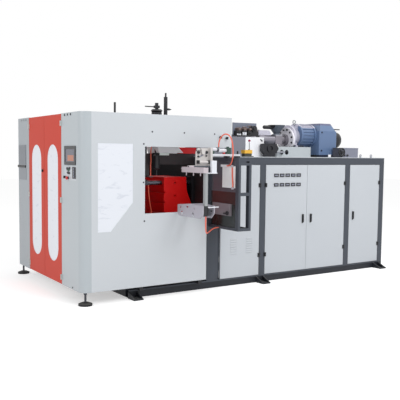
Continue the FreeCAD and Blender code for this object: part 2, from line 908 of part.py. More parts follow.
def carriage():
    left, right = end_plate_x()
    front, back = platen_span()
    level = carriage_z + carriage_plate
    half = rail_width / 2
    parts = [block((left - end_plate, right + end_plate), (front, back), (carriage_z, level))]
    for x in (left - end_plate, right):
        plate = block((x, x + end_plate), (front, back), (level, platen_high))
        for y, z in tie_places():
            plate = plate.cut(rod(tie_radius, (x, y, z), X, end_plate))
        if x < left:
            plate = plate.cut(rod(ram_radius + running, (x, clamp_y, clamp_z), X, end_plate))
        parts.append(plate)
    jacket = rod(cylinder_radius, (left - end_plate - cylinder_length, clamp_y, clamp_z), X, cylinder_length)
    bore_x = left - end_plate - cylinder_length + 20
    bore = rod(cylinder_bore, (bore_x, clamp_y, clamp_z), X, cylinder_length - 20)
    parts.append(jacket.cut(bore))
    for x in rail_lines():
        for y in (front, back - 100):
            truck = block((x - 40, x + 40), (y, y + 100), (bed_top() + 6, carriage_z))
            slot = block((x - half - fit, x + half + fit), (y, y + 100),
                         (bed_top() + 6, bed_top() + rail_height + fit))
            parts.append(truck.cut(slot))
    return group(parts)


def tie_bars():
    left, right = end_plate_x()
    length = right - left + 2 * end_plate
    bars = []
    for y, z in tie_places():
        bar = rod(tie_radius, (left - end_plate, y, z), X, length)
        nuts = [rod(tie_radius * 1.5, (left - end_plate - 22, y, z), X, 22)]
        bars.append(fuse([bar] + nuts))
    return group(bars)


def platen(side):
    # ribbed casting: a mould face, three webs with a raked back, a head and a sole
    face_x = mould_x + side * half_daylight
    front, back = platen_span()

    def at(reach):
        return face_x + side * reach

    outline = [(at(0), platen_low), (at(platen_foot_reach), platen_low),
               (at(platen_foot_reach), platen_toe_z), (at(platen_top_reach + 14), platen_knee_z),
               (at(platen_top_reach), platen_high), (at(0), platen_high)]
    body = face_of(in_xz(outline, front)).extrude(Y * platen_depth)
    middle = (front + back) / 2
    webs = [(front + platen_web, middle - platen_web / 2), (middle + platen_web / 2, back - platen_web)]
    for span in webs:
        pocket = block(sorted((at(platen_face), at(platen_foot_reach + 1))), span,
                       (platen_low + platen_web, platen_high - platen_web))
        body = body.cut(pocket)
    for y, z in tie_places():
        start = min(at(0), at(platen_foot_reach))
        body = body.cut(rod(tie_radius + running, (start, y, z), X, platen_foot_reach))
    for z in (0.3, 0.5, 0.7):
        level = platen_low + (platen_high - platen_low) * z
        body = body.cut(block(sorted((at(0), at(18))), (front, back), (level - 11, level + 11)))
    for z in (platen_high - 221, platen_high - 68):
        body = body.cut(rod(12, (at(152), front, z), Y, platen_web))
    return body


def platen_left():
    left = end_plate_x()[0] - end_plate - 40
    face = mould_x - half_daylight
    foot = face - platen_face
    ram = rod(ram_radius, (left, clamp_y, clamp_z), X, foot - left)
    casting = platen(-1)
    front = platen_span()[0]
    bracket_z = hose_routes["hose_platen"][0][2]
    union_z = hose_routes["hose_platen"][-1][2]
    bracket = block((face - 45, face + 91), (front - 14, front), (bracket_z, bracket_z + 22))
    union = block((face - 21, face + 5), (front - 20, front), (union_z - 12, union_z + 12))
    casting = casting.cut(rod(ram_radius, (left, clamp_y, clamp_z), X, foot - left))
    return group([casting, bracket, union, ram])


def platen_right():
    return platen(1)


# Blow station

def blow_bridge():
    # black beam from a column to the cabinet, with a cast bracket and a plate that reaches over the station
    back = bridge_y + bridge_depth
    floor = tube + 2 * housing_tube
    column_x = (bridge_column_x, bridge_column_x + bridge_column)
    beam = block((bridge_column_x, post_one_x), (bridge_y, back), (bridge_low, bridge_high))
    column = block(column_x, (bridge_y, back), (floor, bridge_low))
    foot = block((bridge_column_x - 8, column_x[1] + 40), (bridge_y - 20, back + 20), (floor, floor + 15))
    return fuse([beam, column, carrier_plate(back), foot, arm_casting(back)] + pin_hanger())


def carrier_plate(back):
    # plate with raked ends, cut away beneath in front of the beam and pierced for the rods
    left, right = carrier_span
    outline = [(left + 25, bridge_high), (left, carrier_high), (right - 77, carrier_high),
               (right, bridge_high)]
    plate = face_of(in_xz(outline, carrier_front)).extrude(Y * (back - carrier_front))
    relief_y = (carrier_front - 1, bridge_y - 10)
    plate = plate.cut(block((left - 1, right + 1), relief_y, (bridge_high - 1, carrier_relief)))
    plate = plate.cut(rod(piston_rod + 4, (mould_x, blow_y, bridge_high), Z, carrier_high - bridge_high))
    return plate.cut(rod(guide_radius + running, (mould_x + guide_offset, blow_y, bridge_high), Z, 200))


def arm_casting(back):
    # red casting that stiffens the plate, wider above than below
    left, right = casting_span
    front = bridge_y - 60
    high = carrier_high - 2
    face = [(left, high), (right, high), (right - 12, bridge_high), (left + 50, bridge_high)]
    return face_of(in_xz(face, front)).extrude(Y * (back - front))


def pin_hanger():
    # flat bar that hangs from the beam and carries the air hose's lower end
    left, right = 948, 1000
    low = hose_routes["hose_blow_pin"][-1][2] - 12
    return [block((left, right), (bridge_y - 10, bridge_y + 10), (low, bridge_low + 10)),
            block((left, right), (bridge_y - 110, bridge_y - 10), (low, low + 12))]


def blow_pin_cylinder():
    # air cylinder over the arm, with the adjuster's screwed spindle on top
    x, y = mould_x, blow_y
    top = pin_barrel_high
    r, cap = pin_barrel_radius, pin_barrel_radius + 14
    profile = [(0, carrier_high), (cap, carrier_high), (cap, carrier_high + 24), (r, carrier_high + 24),
               (r, top - 24), (cap, top - 24), (cap, top), (piston_rod, top),
               (piston_rod, spindle_top), (0, spindle_top)]
    body = turned(profile, (x, y, 0), Z)
    bore = rod(piston_rod + running, (x, y, carrier_high - 1), Z, blow_stroke + 60)
    clamp_z = wheel_z + wheel_height + 14
    clamp = rod(piston_rod + 16, (x, y, clamp_z), Z, 28)
    stop_bar = rod(6, (x, y, clamp_z + 14), -X, 150)
    port = block((x - pin_barrel_radius - 40, x), (y - 22, y + 8), (carrier_high + 28, carrier_high + 58))
    return fuse([body, clamp, stop_bar, port]).cut(bore)


def blow_pin():
    # piston rod, water-cooled body and tip, with the guide rod that keeps it from turning
    x, y = mould_x, blow_y
    high = carrier_high + 50
    profile = [(0, pin_tip_low), (pin_tip_radius, pin_tip_low), (pin_tip_radius, pin_body_low - 16),
               (pin_body_radius, pin_body_low), (pin_body_radius, pin_collar), (piston_rod, pin_collar + 16),
               (piston_rod, high), (0, high)]
    pin = turned(profile, (x, y, 0), Z)
    guide_x = x + guide_offset
    plate_z = carrier_relief - 2
    plate = block((x, guide_x + guide_radius + 12), (y - 30, y + 30), (plate_z - guide_plate, plate_z))
    guide = rod(guide_radius, (guide_x, y, plate_z), Z, guide_high - plate_z)
    tip = rod(guide_radius * 0.45, (guide_x, y, guide_high), Z, guide_top - guide_high)
    arm_z = guide_high - 140
    cam = [rod(12, (guide_x, y, arm_z), X, 46), Part.makeCone(12, 2, 32, V(guide_x + 46, y, arm_z), X)]
    return fuse([pin, plate, guide, tip] + cam)


def height_handwheel():
    # handwheel with a knurled rim, round the adjuster's spindle
    x, y = mould_x, blow_y
    w = wheel_radius
    profile = [(piston_rod + running, wheel_z), (w * 0.75, wheel_z), (w, wheel_z + wheel_height * 0.45),
               (w * 0.8, wheel_z + wheel_height), (piston_rod + running, wheel_z + wheel_height)]
    wheel = turned(profile, (x, y, 0), Z)
    return wheel


# Extruder and its drive

def die_head():
    x, y = mould_x, extruder_y
    r, low, top = head_radius, head_low, head_high
    profile = [(0, low - lip_drop), (lip_radius * 0.7, low - lip_drop), (lip_radius, low), (r * 0.8, low),
               (r, low + 30), (r, low + 150), (r * 0.86, low + 160), (r * 0.86, top - 120), (r, top - 110),
               (r, top - 60), (r * 0.55, top - 50), (r * 0.55, top), (0, top)]
    head = turned(profile, (x, y, 0), Z)
    inlet = rod(barrel_radius + 20, (x + r * 0.5, y, extruder_z), X, r)
    passage = rod(screw_radius * 0.5, (x, y, extruder_z), X, r * 2)
    parison = rod(18, (x, y, low - lip_drop), Z, extruder_z - low + lip_drop)
    return fuse([head, inlet]).cut(passage).cut(parison)


def barrel_start():
    return mould_x + head_radius * 1.5


def extruder_barrel():
    y, z = extruder_y, extruder_z
    start = barrel_start()
    body = rod(barrel_radius, (start, y, z), X, flange_x - start)
    flange = rod(flange_radius, (flange_x, y, z), X, flange_thick)
    collar = rod(barrel_radius + 22, (flange_x - 46, y, z), X, 46)
    throat = block((throat_x - throat_size / 2, throat_x + throat_size / 2),
                   (y - throat_size / 2, y + throat_size / 2), (z - throat_size / 2, hopper_low))
    whole = fuse([body, flange, collar, throat])
    bore = rod(screw_radius + running, (start, y, z), X, flange_x + flange_thick - start)
    feed = rod(hopper_neck - hopper_wall, (throat_x, y, z), Z, hopper_low - z)
    whole = whole.cut(bore).cut(feed)
    bolts = []
    for i in range(flange_bolts):
        angle = 2 * math.pi * (i + 0.5) / flange_bolts
        by, bz = y + bolt_circle * math.cos(angle), z + bolt_circle * math.sin(angle)
        bolts.append(rod(bolt_radius, (flange_x - 12, by, bz), X, 12))
    return fuse([whole] + bolts)


def heater_bands():
    # short bands inside the cover, and a long one between the cover and the feed throat
    y, z = extruder_y, extruder_z
    outer = barrel_radius + band_grip
    start = barrel_start() + 40
    pitch = (cover_x[0] - 40 - start) / band_count
    last = cover_x[1] + 8
    spans = [(start + i * pitch, band_width) for i in range(band_count)]
    spans.append((last, throat_x - throat_size / 2 - 8 - last))
    bands = []
    for x, width in spans:
        band = ring(outer, barrel_radius, (x, y, z), X, width)
        clip = block((x + width * 0.3, x + width * 0.7), (y - 14, y + 14), (z - outer - 16, z - outer + 4))
        bands.append(fuse([band, clip.cut(rod(barrel_radius, (x, y, z), X, width))]))
    return group(bands)


def extruder_screw():
    # the screw's core, with its feed zone's flights shown as plain rings
    y, z = extruder_y, extruder_z
    start = barrel_start() + 30
    length = flange_x + flange_thick - fit - start
    core = rod(screw_root, (start, y, z), X, length)
    tip = Part.makeCone(2, screw_root, 30, V(start - 30, y, z), X)
    shank = rod(screw_radius - 1, (flange_x - 90, y, z), X, 90 + flange_thick - fit)
    return fuse([core, tip, shank] + flights())


def flights():
    y, z = extruder_y, extruder_z
    made = []
    x = throat_x - throat_size / 2 - 2 * screw_pitch
    while x < flange_x - 100:
        made.append(rod(screw_radius, (x, y, z), X, flight_width))
        x += screw_pitch
    return made


def hopper():
    # neck ring, funnel with a rolled rim, and the loader's nozzle on its left side
    x, y = throat_x, extruder_y
    t = hopper_wall
    low, high = hopper_low, hopper_high
    bottom = low + 18
    ring_profile = [(hopper_neck - t, low), (hopper_neck + 22, low), (hopper_neck + 22, low + 8),
                    (hopper_neck, low + 8), (hopper_neck, bottom), (hopper_neck - t, bottom)]
    outside = [(hopper_neck, bottom), (hopper_mouth, high - 10), (hopper_mouth + 5, high - 6),
               (hopper_mouth + 5, high)]
    inside = [(hopper_mouth - t, high), (hopper_mouth - t, high - 10), (hopper_neck - t, bottom)]
    funnel = turned(outside + inside, (x, y, 0), Z)
    filled = turned([(0, bottom)] + outside + [(0, high)], (x, y, 0), Z)
    reach = hopper_mouth * 0.7
    length = 160
    nozzle = turned([(0, 0), (26, 0), (26, length - 20), (16, length - 6), (0, length)],
                    (x - reach, y, high - 34), -X)
    return group([turned(ring_profile, (x, y, 0), Z), funnel, nozzle.cut(filled)])


def extruder_stands():
    # welded box under the gearbox, with two service holes and a saddle for the neck
    body = block(pedestal_x, pedestal_y, (cabinet_top, pedestal_top))
    t = 8
    core = block((pedestal_x[0] + t, pedestal_x[1] - t), (pedestal_y[0] + t, pedestal_y[1] - t),
                 (cabinet_top, pedestal_top - t))
    flange_slot = block((flange_x - 30, flange_x + flange_thick + 40), (pedestal_y[0] + t, pedestal_y[1] - t),
                        (cabinet_top + 30, pedestal_top))
    body = body.cut(core).cut(flange_slot)
    for x in pedestal_holes:
        body = body.cut(rod(33, (pedestal_x[0] + x, pedestal_y[0] - 1, cabinet_top + 64), Y, t + 2))
    saddle = block((flange_x + flange_thick + 40, motor_x - 20), (extruder_y - 80, extruder_y + 80),
                   (pedestal_top, neck_z - 60))
    saddle = saddle.cut(rod(neck_radius, (flange_x, extruder_y, neck_z), X, 400))
    feet = [block((x, x + 30), (extruder_y - 130, extruder_y + 130), (pedestal_top, pedestal_top + 24))
            for x in (flange_x + flange_thick + 60, motor_x - 60)]
    return group([fuse([body, saddle] + feet), barrel_stand()])


def gearbox():
    # round face plate, neck, and a top housing that carries the lifting eye
    y = extruder_y
    start = flange_x + flange_thick
    plate = rod(flange_radius - 10, (start, y, neck_z), X, 34)
    neck = rod(neck_radius, (start + 34, y, neck_z), X, motor_x - start - 34)
    top = block((start + 34, motor_x), (y - 70, y + 70), (neck_z + 60, neck_z + 152))
    eye_x, eye_z = motor_x - 22, neck_z + 152
    eye = lifting_eye(16, 5, (eye_x, y, eye_z + 22))
    return fuse([plate, neck, top, rod(8, (eye_x, y, eye_z), Z, 8), eye])


def motor_body():
    # finned round body with end rings
    y, z = extruder_y, motor_z
    length = gear_case_x[0] - motor_x
    parts = [rod(motor_radius, (motor_x, y, z), X, length)]
    for x in (motor_x, gear_case_x[0] - 26):
        parts.append(rod(motor_radius + motor_fin, (x, y, z), X, 26))
    for i in range(motor_fins):
        fin = block((motor_x + 26, gear_case_x[0] - 26), (y - 2.5, y + 2.5),
                    (z + motor_radius - 2, z + motor_radius + motor_fin - 2))
        fin.rotate(V(motor_x, y, z), X, 360.0 * (i + 0.5) / motor_fins)
        parts.append(fin)
    return fuse(parts)


def gear_case():
    # box with a hipped lid, on two feet
    (x0, x1), (y0, y1) = gear_case_x, gear_case_y
    body = block(gear_case_x, gear_case_y, (gear_case_low, gear_case_high))
    edges = [e for e in body.Edges if abs(e.Vertexes[0].X - e.Vertexes[1].X) < 0.1
             and abs(e.Vertexes[0].Y - e.Vertexes[1].Y) < 0.1]
    body = body.makeFillet(18, edges)
    rim = 14
    hip = 70
    wires = []
    for inset, z in ((rim, gear_case_high), (hip, gear_case_cap)):
        (a, b), (c, d) = (x0 + inset, x1 - inset), (y0 + inset, y1 - inset)
        wires.append(Part.makePolygon(in_xy([(a, c), (b, c), (b, d), (a, d), (a, c)], z)))
    lid = Part.makeLoft(wires, True, True)
    lever = rod(8, (x1 - hip, y0 + hip, gear_case_high + 32), X, hip + 118)
    feet = [block(gear_case_x, (y, y + 60), (cabinet_top, gear_case_low)) for y in (y0, y1 - 60)]
    return fuse([body, lid, lever] + feet)


def main_motor():
    return group([gearbox(), motor_body(), gear_case(), fan_cowl()])


def fan_cowl():
    x = gear_case_x[1]
    r = cowl_radius
    profile = [(0, 0), (r, 0), (r, cowl_length * 0.7), (r * 0.9, cowl_length * 0.92), (r * 0.7, cowl_length),
               (0, cowl_length)]
    cowl = turned(profile, (x, extruder_y, extruder_z + 15), X)
    slots = []
    for i in range(-3, 4):
        z = extruder_z + 15 + i * 28
        half = math.sqrt(max((r * 0.6) ** 2 - (i * 28) ** 2, 100))
        slots.append(block((x + cowl_length - 12, x + cowl_length + 1),
                           (extruder_y - half, extruder_y + half), (z - 6, z + 6)))
    return cowl.cut(group(slots))


def barrel_cover():
    # sheet guard, open above and below, with a notch at each end for the barrel and a flared foot
    (x0, x1), (y0, y1) = cover_x, cover_y
    t = housing_sheet
    front = [(x0, cabinet_top), (x0, cover_high), (x1, cover_high), (x1, cover_flare_z),
             (x1 + cover_flare * 0.35, cover_flare_z - 36), (x1 + cover_flare, cabinet_top)]
    outer = face_of(in_xz(front, y0)).extrude(Y * (y1 - y0))
    hollow = block((x0 + t, x1 - t), (y0 + t, y1 - t), (cabinet_top, cover_high))
    pass_radius = barrel_radius + 4
    notch = block((x0 - 1, x1 + cover_flare), (extruder_y - pass_radius, extruder_y + pass_radius),
                  (extruder_z, cover_high))
    round_end = rod(pass_radius, (x0 - 1, extruder_y, extruder_z), X, x1 - x0 + cover_flare)
    behind = block((x1 + 0.01, x1 + cover_flare), (y0 + t, y1), (cabinet_top, cover_high))
    latch = block((x1 - 66, x1 - 26), (y0 - 8, y0), (cover_high - 46, cover_high - 34))
    latch.rotate(V(x1 - 46, y0, cover_high - 40), Y, 38)
    ledges = [block((x0, x1), (y0, y0 + 26), (cover_high - t, cover_high)),
              block((x0, x1), (y1 - 26, y1), (cover_high - t, cover_high))]
    right_part = fuse([outer.cut(hollow).cut(notch).cut(round_end).cut(behind), latch] + ledges)
    return group([right_part, air_duct()] + grey_cover())


def grey_cover():
    # the cover's left part: a folded sheet before the barrel and another behind it, on the cabinet
    x = (grey_cover_left, cover_x[0])
    t, fold = housing_sheet, 26
    sides = []
    for y, inward in ((cover_y[0], 1), (cover_y[1], -1)):
        sheet = block(x, sorted((y, y + inward * t)), (cabinet_top, cover_high))
        edges = [block(x, sorted((y, y + inward * fold)), (z, z + t)) for z in (cabinet_top, cover_high - t)]
        end = block((x[0], x[0] + t), sorted((y, y + inward * fold)), (cabinet_top, cover_high))
        sides.append(fuse([sheet, end] + edges))
    return sides


def air_duct():
    # sheet duct that lies along the barrel's top, raked at its right end, with a collar at its left
    (x0, x1), y, w = duct_x, extruder_y, duct_half_width
    jacket = barrel_radius + band_grip
    low = extruder_z + jacket * 0.75
    outline = [(x0, low), (x1, low), (x1, duct_high - 46), (x1 - 30, duct_high), (x0, duct_high)]
    duct = face_of(in_xz(outline, y - w)).extrude(Y * 2 * w)
    collar = block((x0 - 12, x0), (y - w - 6, y + w + 6), (low, duct_high + 5))
    return fuse([duct, collar]).cut(rod(jacket, (x0 - 13, y, extruder_z), X, x1 - x0 + 14))


def barrel_stand():
    # the welded rest that carries the barrel inside its guard
    x = (cover_x[0] + cover_x[1]) / 2
    y = extruder_y
    post = block((x - 30, x + 30), (y - 40, y + 40), (cabinet_top, extruder_z))
    plate = block((x - 60, x + 60), (y - 90, y + 90), (cabinet_top, cabinet_top + 12))
    return fuse([post, plate]).cut(rod(barrel_radius, (x - 61, y, extruder_z), X, 122))


def feed_blower():
    # blower case with a bulged side, inlet ring and a pipe to the pedestal
    (x0, x1), y = blower_x, blower_y
    high = extruder_z - barrel_radius - 6
    outline = [(x0, high), (x0, blower_low + 33), (x0 + 29, blower_low), (x1 - 5, blower_low),
               (x1 + blower_bulge, blower_low + 67), (x1, high)]
    case = face_of(in_xz(outline, y[0])).extrude(Y * (y[1] - y[0]))
    foot = block((x0 + 40, x1 - 20), (y[0] + 6, y[1] - 6), (cabinet_top, blower_low))
    inlet = ring(50, 36, ((x0 + x1) / 2, y[0] - 12, (blower_low + high) / 2), Y, 12)
    hole_x, pipe_y, pipe_z = pedestal_x[0] + pedestal_holes[0], y[1] - 30, cabinet_top + 64
    # the pipe turns in a square elbow into the service hole
    half = 15
    elbow = block((hole_x - half, hole_x + half), (pipe_y - half, pipe_y + half),
                  (pipe_z - half, pipe_z + half))
    pipe = [rod(12, (x1 - 10, pipe_y, pipe_z), X, hole_x - x1 + 10), elbow,
            rod(12, (hole_x, pipe_y, pipe_z), Y, pedestal_y[0] - pipe_y + 20)]
    return fuse([case, foot, inlet] + pipe)


def valve_manifold():
    # hydraulic valves before a tall back plate, on a shelf that stands on the barrel's cover
    (x0, x1), (y0, y1) = manifold_x, manifold_y
    low = manifold_low + 8
    shelf = block((x0, x1), (y0, y1), (manifold_low, low))
    back = block((x0, x1), (y1 - 8, y1), (low, manifold_high))
    parts = [shelf, back]
    for x in (x0 + 20, x1 - 60):
        parts.append(block((x, x + 40), (y0, cover_y[0] + 26), (cover_high, manifold_low)))
    pitch = (x1 - x0) / 4.4
    for i in range(3):
        x = x0 + 22 + i * pitch
        width = pitch * 0.72
        middle = x + width / 2
        parts.append(block((x, x + width), (y0 + 18, y1 - 8), (low, low + 58)))
        parts.append(rod(17, (middle, y0 + 4, low + 84), Y, y1 - 12 - y0))
        parts.append(block((middle - 9, middle + 9), (y0 + 30, y0 + 60), (low + 58, low + 70)))
        parts.append(rod(10, (middle, y0, low + 30), Y, 20))
        parts.append(rod(7, (x + width + 8, y0 + 40, low), Z, 96 + 14 * i))
        parts.append(rod(7, (x + width + 8, y0 + 40, low + 96 + 14 * i), -X, width))
    coil_x, coil_z = x1 - 92, low + 88
    parts.append(rod(43, (coil_x, y0 + 8, coil_z), Y, y1 - 12 - y0))
    parts.append(rod(22, (coil_x, y0 - 6, coil_z), Y, 14))
    parts.append(block((coil_x - 30, coil_x + 72), (y0 + 24, y1 - 8), (low, coil_z - 20)))
    return fuse(parts)


def control_box():
    body = block(control_box_x, control_box_y, (cabinet_top, control_box_high))
    lid = block((control_box_x[0] - 3, control_box_x[1] + 3), (control_box_y[0] - 3, control_box_y[1] + 3),
                (control_box_high - 14, control_box_high))
    glands = [rod(14, (x, control_box_y[0] - 16, cabinet_top + 30), Y, 16)
              for x in (control_box_x[0] + 60, control_box_x[0] + 120)]
    return fuse([body, lid] + glands)


def hand_valve():
    # lever valve on a black base with a fixing lug, at the front edge of the cabinet top
    (x0, x1), y = valve_x, valve_y
    waist = cabinet_top + (valve_high - cabinet_top) * 0.5
    base = block((x0 + 6, x1 - 3), y, (cabinet_top, waist))
    lug = block((x1 - 3, x1 + 28), (y[0], y[0] + 24), (cabinet_top, cabinet_top + 11))
    head = block((x0, x1), (y[0] - 6, y[1] + 6), (waist, valve_high))
    half = lever_pivot + 1 + fit
    seat = rod(lever_pivot + running, (lever_x - half, sum(y) / 2, valve_high), X, 2 * half)
    return fuse([base, lug, head]).cut(seat)


def hand_valve_lever():
    # pivot barrel in the valve's seat, stem and knob
    x, y = lever_x, sum(valve_y) / 2
    r = knob_radius
    half = lever_pivot + 1
    pivot = rod(lever_pivot, (x - half, y, valve_high), X, 2 * half)
    stem = rod(lever_rod, (x, y, valve_high), Z, lever_top - valve_high)
    profile = [(0, -r), (r * 0.6, -r * 0.8), (r * 0.92, -r * 0.38), (r, 0), (r * 0.92, r * 0.38),
               (r * 0.6, r * 0.8), (0, r)]
    return fuse([stem, pivot, turned(profile, (x, y, lever_top + r - 3), Z)])


# Guard beside the outlet

def outlet_guard_frame():
    # two ladder frames, front and back, joined along the bottom and the top
    b, head = guard_bar, guard_top_bar
    parts = []
    x0, x1 = guard_x
    levels = ((guard_low, guard_low + b), guard_middle, guard_head, (guard_high - head, guard_high))
    for y, deep in ((guard_front, guard_front_bar), (-b, b)):
        for x in (x0, x1 - b):
            parts.append(block((x, x + b), (y, y + deep), (guard_low, guard_high)))
        for z in levels:
            parts.append(block((x0 + b, x1 - b), (y, y + b), z))
    for x in (x0, x1 - b):
        for z in (levels[0], levels[-1]):
            parts.append(block((x, x + b), (guard_front + guard_front_bar, -b), z))
    return group(parts)


def outlet_guard_panels():
    # tinted sheet on the side towards the clamp with what is fixed to it, and the bottom sheet
    b, t = guard_bar, guard_sheet
    x0, x1 = guard_x
    span = (guard_front + guard_front_bar, -b)
    face = x0 + b / 2
    sheet = block((face, face + t), span, (guard_low + b, guard_high - guard_top_bar))
    bottom = block((x0 + b, x1 - b), (guard_front + b, -b), (guard_low, guard_low + t))
    box_face = face - terminal_depth
    parts = [sheet, block((box_face, face), terminal_y, terminal_z)]
    knob_y, knob_z = terminal_y[0] + 54, terminal_z[0] + 31
    parts.append(rod(24, (box_face - 14, knob_y, knob_z), X, 14))
    parts.append(block((box_face - 10, box_face), (knob_y, knob_y + 76), (knob_z - 14, knob_z)))
    parts.append(block((face - 5, face), (-505, -255), (guard_high - 342, guard_high - 98)))
    for y, z, reach in hose_unions:
        parts.append(block((face - reach, face), y, (z, z + 26)))
    return group([fuse(parts), bottom])


# Take-out unit

def takeout_support():
    # ledge on the guard, post, carrier plate with its cylinder, and the rail of the slide under it
    y0, y1 = ledge_y
    base = guard_high + ledge_packer
    parts = [block((ledge_x + carrier_post, guard_x[1]), ledge_y, (base, base + ledge_thick))]
    for x in (guard_x[0], guard_x[1] - guard_bar):
        parts.append(block((x, x + guard_bar), ledge_y, (guard_high, base)))
    (left, right), top = carrier_x, carrier_top
    front, back = slide_y - carrier_thick / 2, slide_y + carrier_thick / 2
    outline = [(left, carrier_low), (right, carrier_low), (right, top), (left + 22, top), (left, top - 50)]
    plate = face_of(in_xz(outline, front)).extrude(Y * carrier_thick)
    for x in (left + 30, right - 34):
        plate = plate.cut(rod(13, (x, front - 1, top - 52), Y, carrier_thick + 2))
    hood = [(left + 56, top - 2), (right - 48, top - 2), (right - 66, top - 70), (left + 74, top - 70)]
    parts += [plate, face_of(in_xz(hood, front - 22)).extrude(Y * 22)]
    post_y = (y0 - 12, back + 8)
    parts.append(block((ledge_x, ledge_x + carrier_post), post_y, (carrier_low, top + 7)))
    parts.append(rod(17, (left + 24, front - 20, carrier_low + 40), X, 128))
    for x in (left + 10, left + 142):
        parts.append(block((x, x + 16), (front - 40, front), (carrier_low + 20, carrier_low + 60)))
    # the rail has a wide head under a neck, so that the arm hangs on it
    parts.append(block(rail_x, (slide_y - 7, slide_y + 7), (arm_high + 8, carrier_low + 3)))
    parts.append(block(rail_x, (slide_y - 16, slide_y + 16), (arm_high + fit, arm_high + 8)))
    parts.append(block(rail_plate_x, (slide_y - 4, slide_y + 4), (arm_low - 5, arm_high + 67)))
    return fuse(parts)


def takeout_arm():
    # saddle round the rail, beam, hanging post, front bracket and the two deflashing plates
    x0, x1 = arm_x, arm_x + arm_width
    front = arm_y[0]
    beam = block((x0, x1), arm_y, (arm_low, arm_high))
    parts = [beam]
    for side in (-1, 1):
        cheek = sorted((slide_y + side * (16 + fit), slide_y + side * 24))
        lip = sorted((slide_y + side * (7 + 1), slide_y + side * 24))
        parts.append(block((x0, x1), cheek, (arm_high, arm_high + 8 + fit)))
        parts.append(block((x0, x1), lip, (arm_high + 8 + fit, carrier_low - 1)))
    post_x = (x1 - 3 - post_width, x1 - 3)
    parts.append(block(post_x, (front, front + post_depth), (deflash_high - 20, arm_low)))
    bracket_y = (front + 20, front + 60)
    parts.append(block((x1, x1 + 132), bracket_y, (arm_low - 6, arm_low + 4)))
    plate_y = (bracket_y[0] + 16, bracket_y[0] + 24)
    parts.append(block((x1 + 90, x1 + 132), plate_y, (arm_low + 4, arm_low + 132)))
    parts.append(block((x1 + 66, x1 + 90), (bracket_y[0] + 12, bracket_y[1]), (arm_low + 4, arm_low + 134)))
    for y in (-536, -396, -250):
        parts.append(rod(6, (x0 + arm_width / 2, y, arm_low - 34), Z, 34))
    parts.append(rod(8, (x0 + arm_width / 2, arm_y[1], arm_low + 40), Y, 46))
    return fuse(parts + deflash_plates())


def deflash_outline():
    (y0, y1), z0, z1 = deflash_y, deflash_low, deflash_high
    return [(y0, z1 - 8), (y0, z0 + 53), (y0 + 59, z0), (y1 - 24, z0), (y1, z0 + 24), (y1, z1 - 24),
            (y1 - 267, z1)]


def deflash_plates():
    # two profiled plates, pierced for product and fixings, with the spacers and brackets between them
    x = arm_x
    far = x + deflash_gap
    front = deflash_y[0]
    made = []
    for place in (x, far):
        plate = face_of(in_yz(deflash_outline(), place)).extrude(X * deflash_thick)
        for y, z, r in product_holes:
            plate = plate.cut(rod(r, (place - 1, y, z), X, deflash_thick + 2))
        slot = block((place - 1, place + deflash_thick + 1), (-352, -296), (1010, 1024))
        made.append(plate.cut(slot))
    for y, z in spacers:
        made.append(rod(10, (x, y, z), X, deflash_gap))
    made.append(block((x + 64, x + 70), (front, front + 50), (deflash_low + 50, deflash_high - 20)))
    made.append(block((x + 64, x + 200), (front, front + 22), (deflash_high - 30, deflash_high - 20)))
    made.append(block((x, x + 64), hose_socket_y, (hose_socket_z, deflash_high - 10)))
    return made


def gripper_jaw():
    # jaw that slides on the front spacer, towards the far plate
    x = arm_x + 74
    y, z = spacers[0]
    jaw = block((x, x + 34), (y - 36, y + 40), (z - 46, z + 26))
    nose = block((x + 34, x + 46), (y - 26, y + 26), (z - 36, z - 14))
    return fuse([jaw, nose]).cut(rod(10 + running, (x - 1, y, z), X, 60))


# Air service unit and hoses

def air_service_unit():
    # filter with its bowl, ring, regulator and shut-off block in a row along the ledge, and two elbows
    y = sum(ledge_y) / 2
    base = guard_high + ledge_packer + ledge_thick
    x = ledge_x + carrier_post
    z = base + 51
    nipple_x = hose_routes["hose_arch"][0][0]
    bowl = [(0, base), (22, base), (27, base + 10), (27, base + 34), (0, base + 34)]
    parts = [turned(bowl, (x + 28, y, 0), Z),
             rod(18, (x + 4, y, z), X, 84),
             rod(24, (x + 84, y, z), X, 22),
             rod(20, (x + 104, y, base + 40), X, 110),
             rod(9, (nipple_x, y, z), Z, hose_routes["hose_arch"][0][2] - z),
             block((x + 176, x + 196), (y - 12, y + 12), (base, base + 26)),
             block((x + 212, x + 267), (y - 24, y + 24), (base, base + 72)),
             block((x + 226, x + 252), (y - 10, y + 10), (base + 72, base + 84))]
    elbows = []
    for ex, ez in feed_elbows:
        leg = rod(11, (ex, housing_front - 16, ez), Y, 16)
        elbows.append(fuse([leg, rod(13, (ex, housing_front - 22, ez - 16), Z, 30)]))
    return group([fuse(parts)] + elbows)


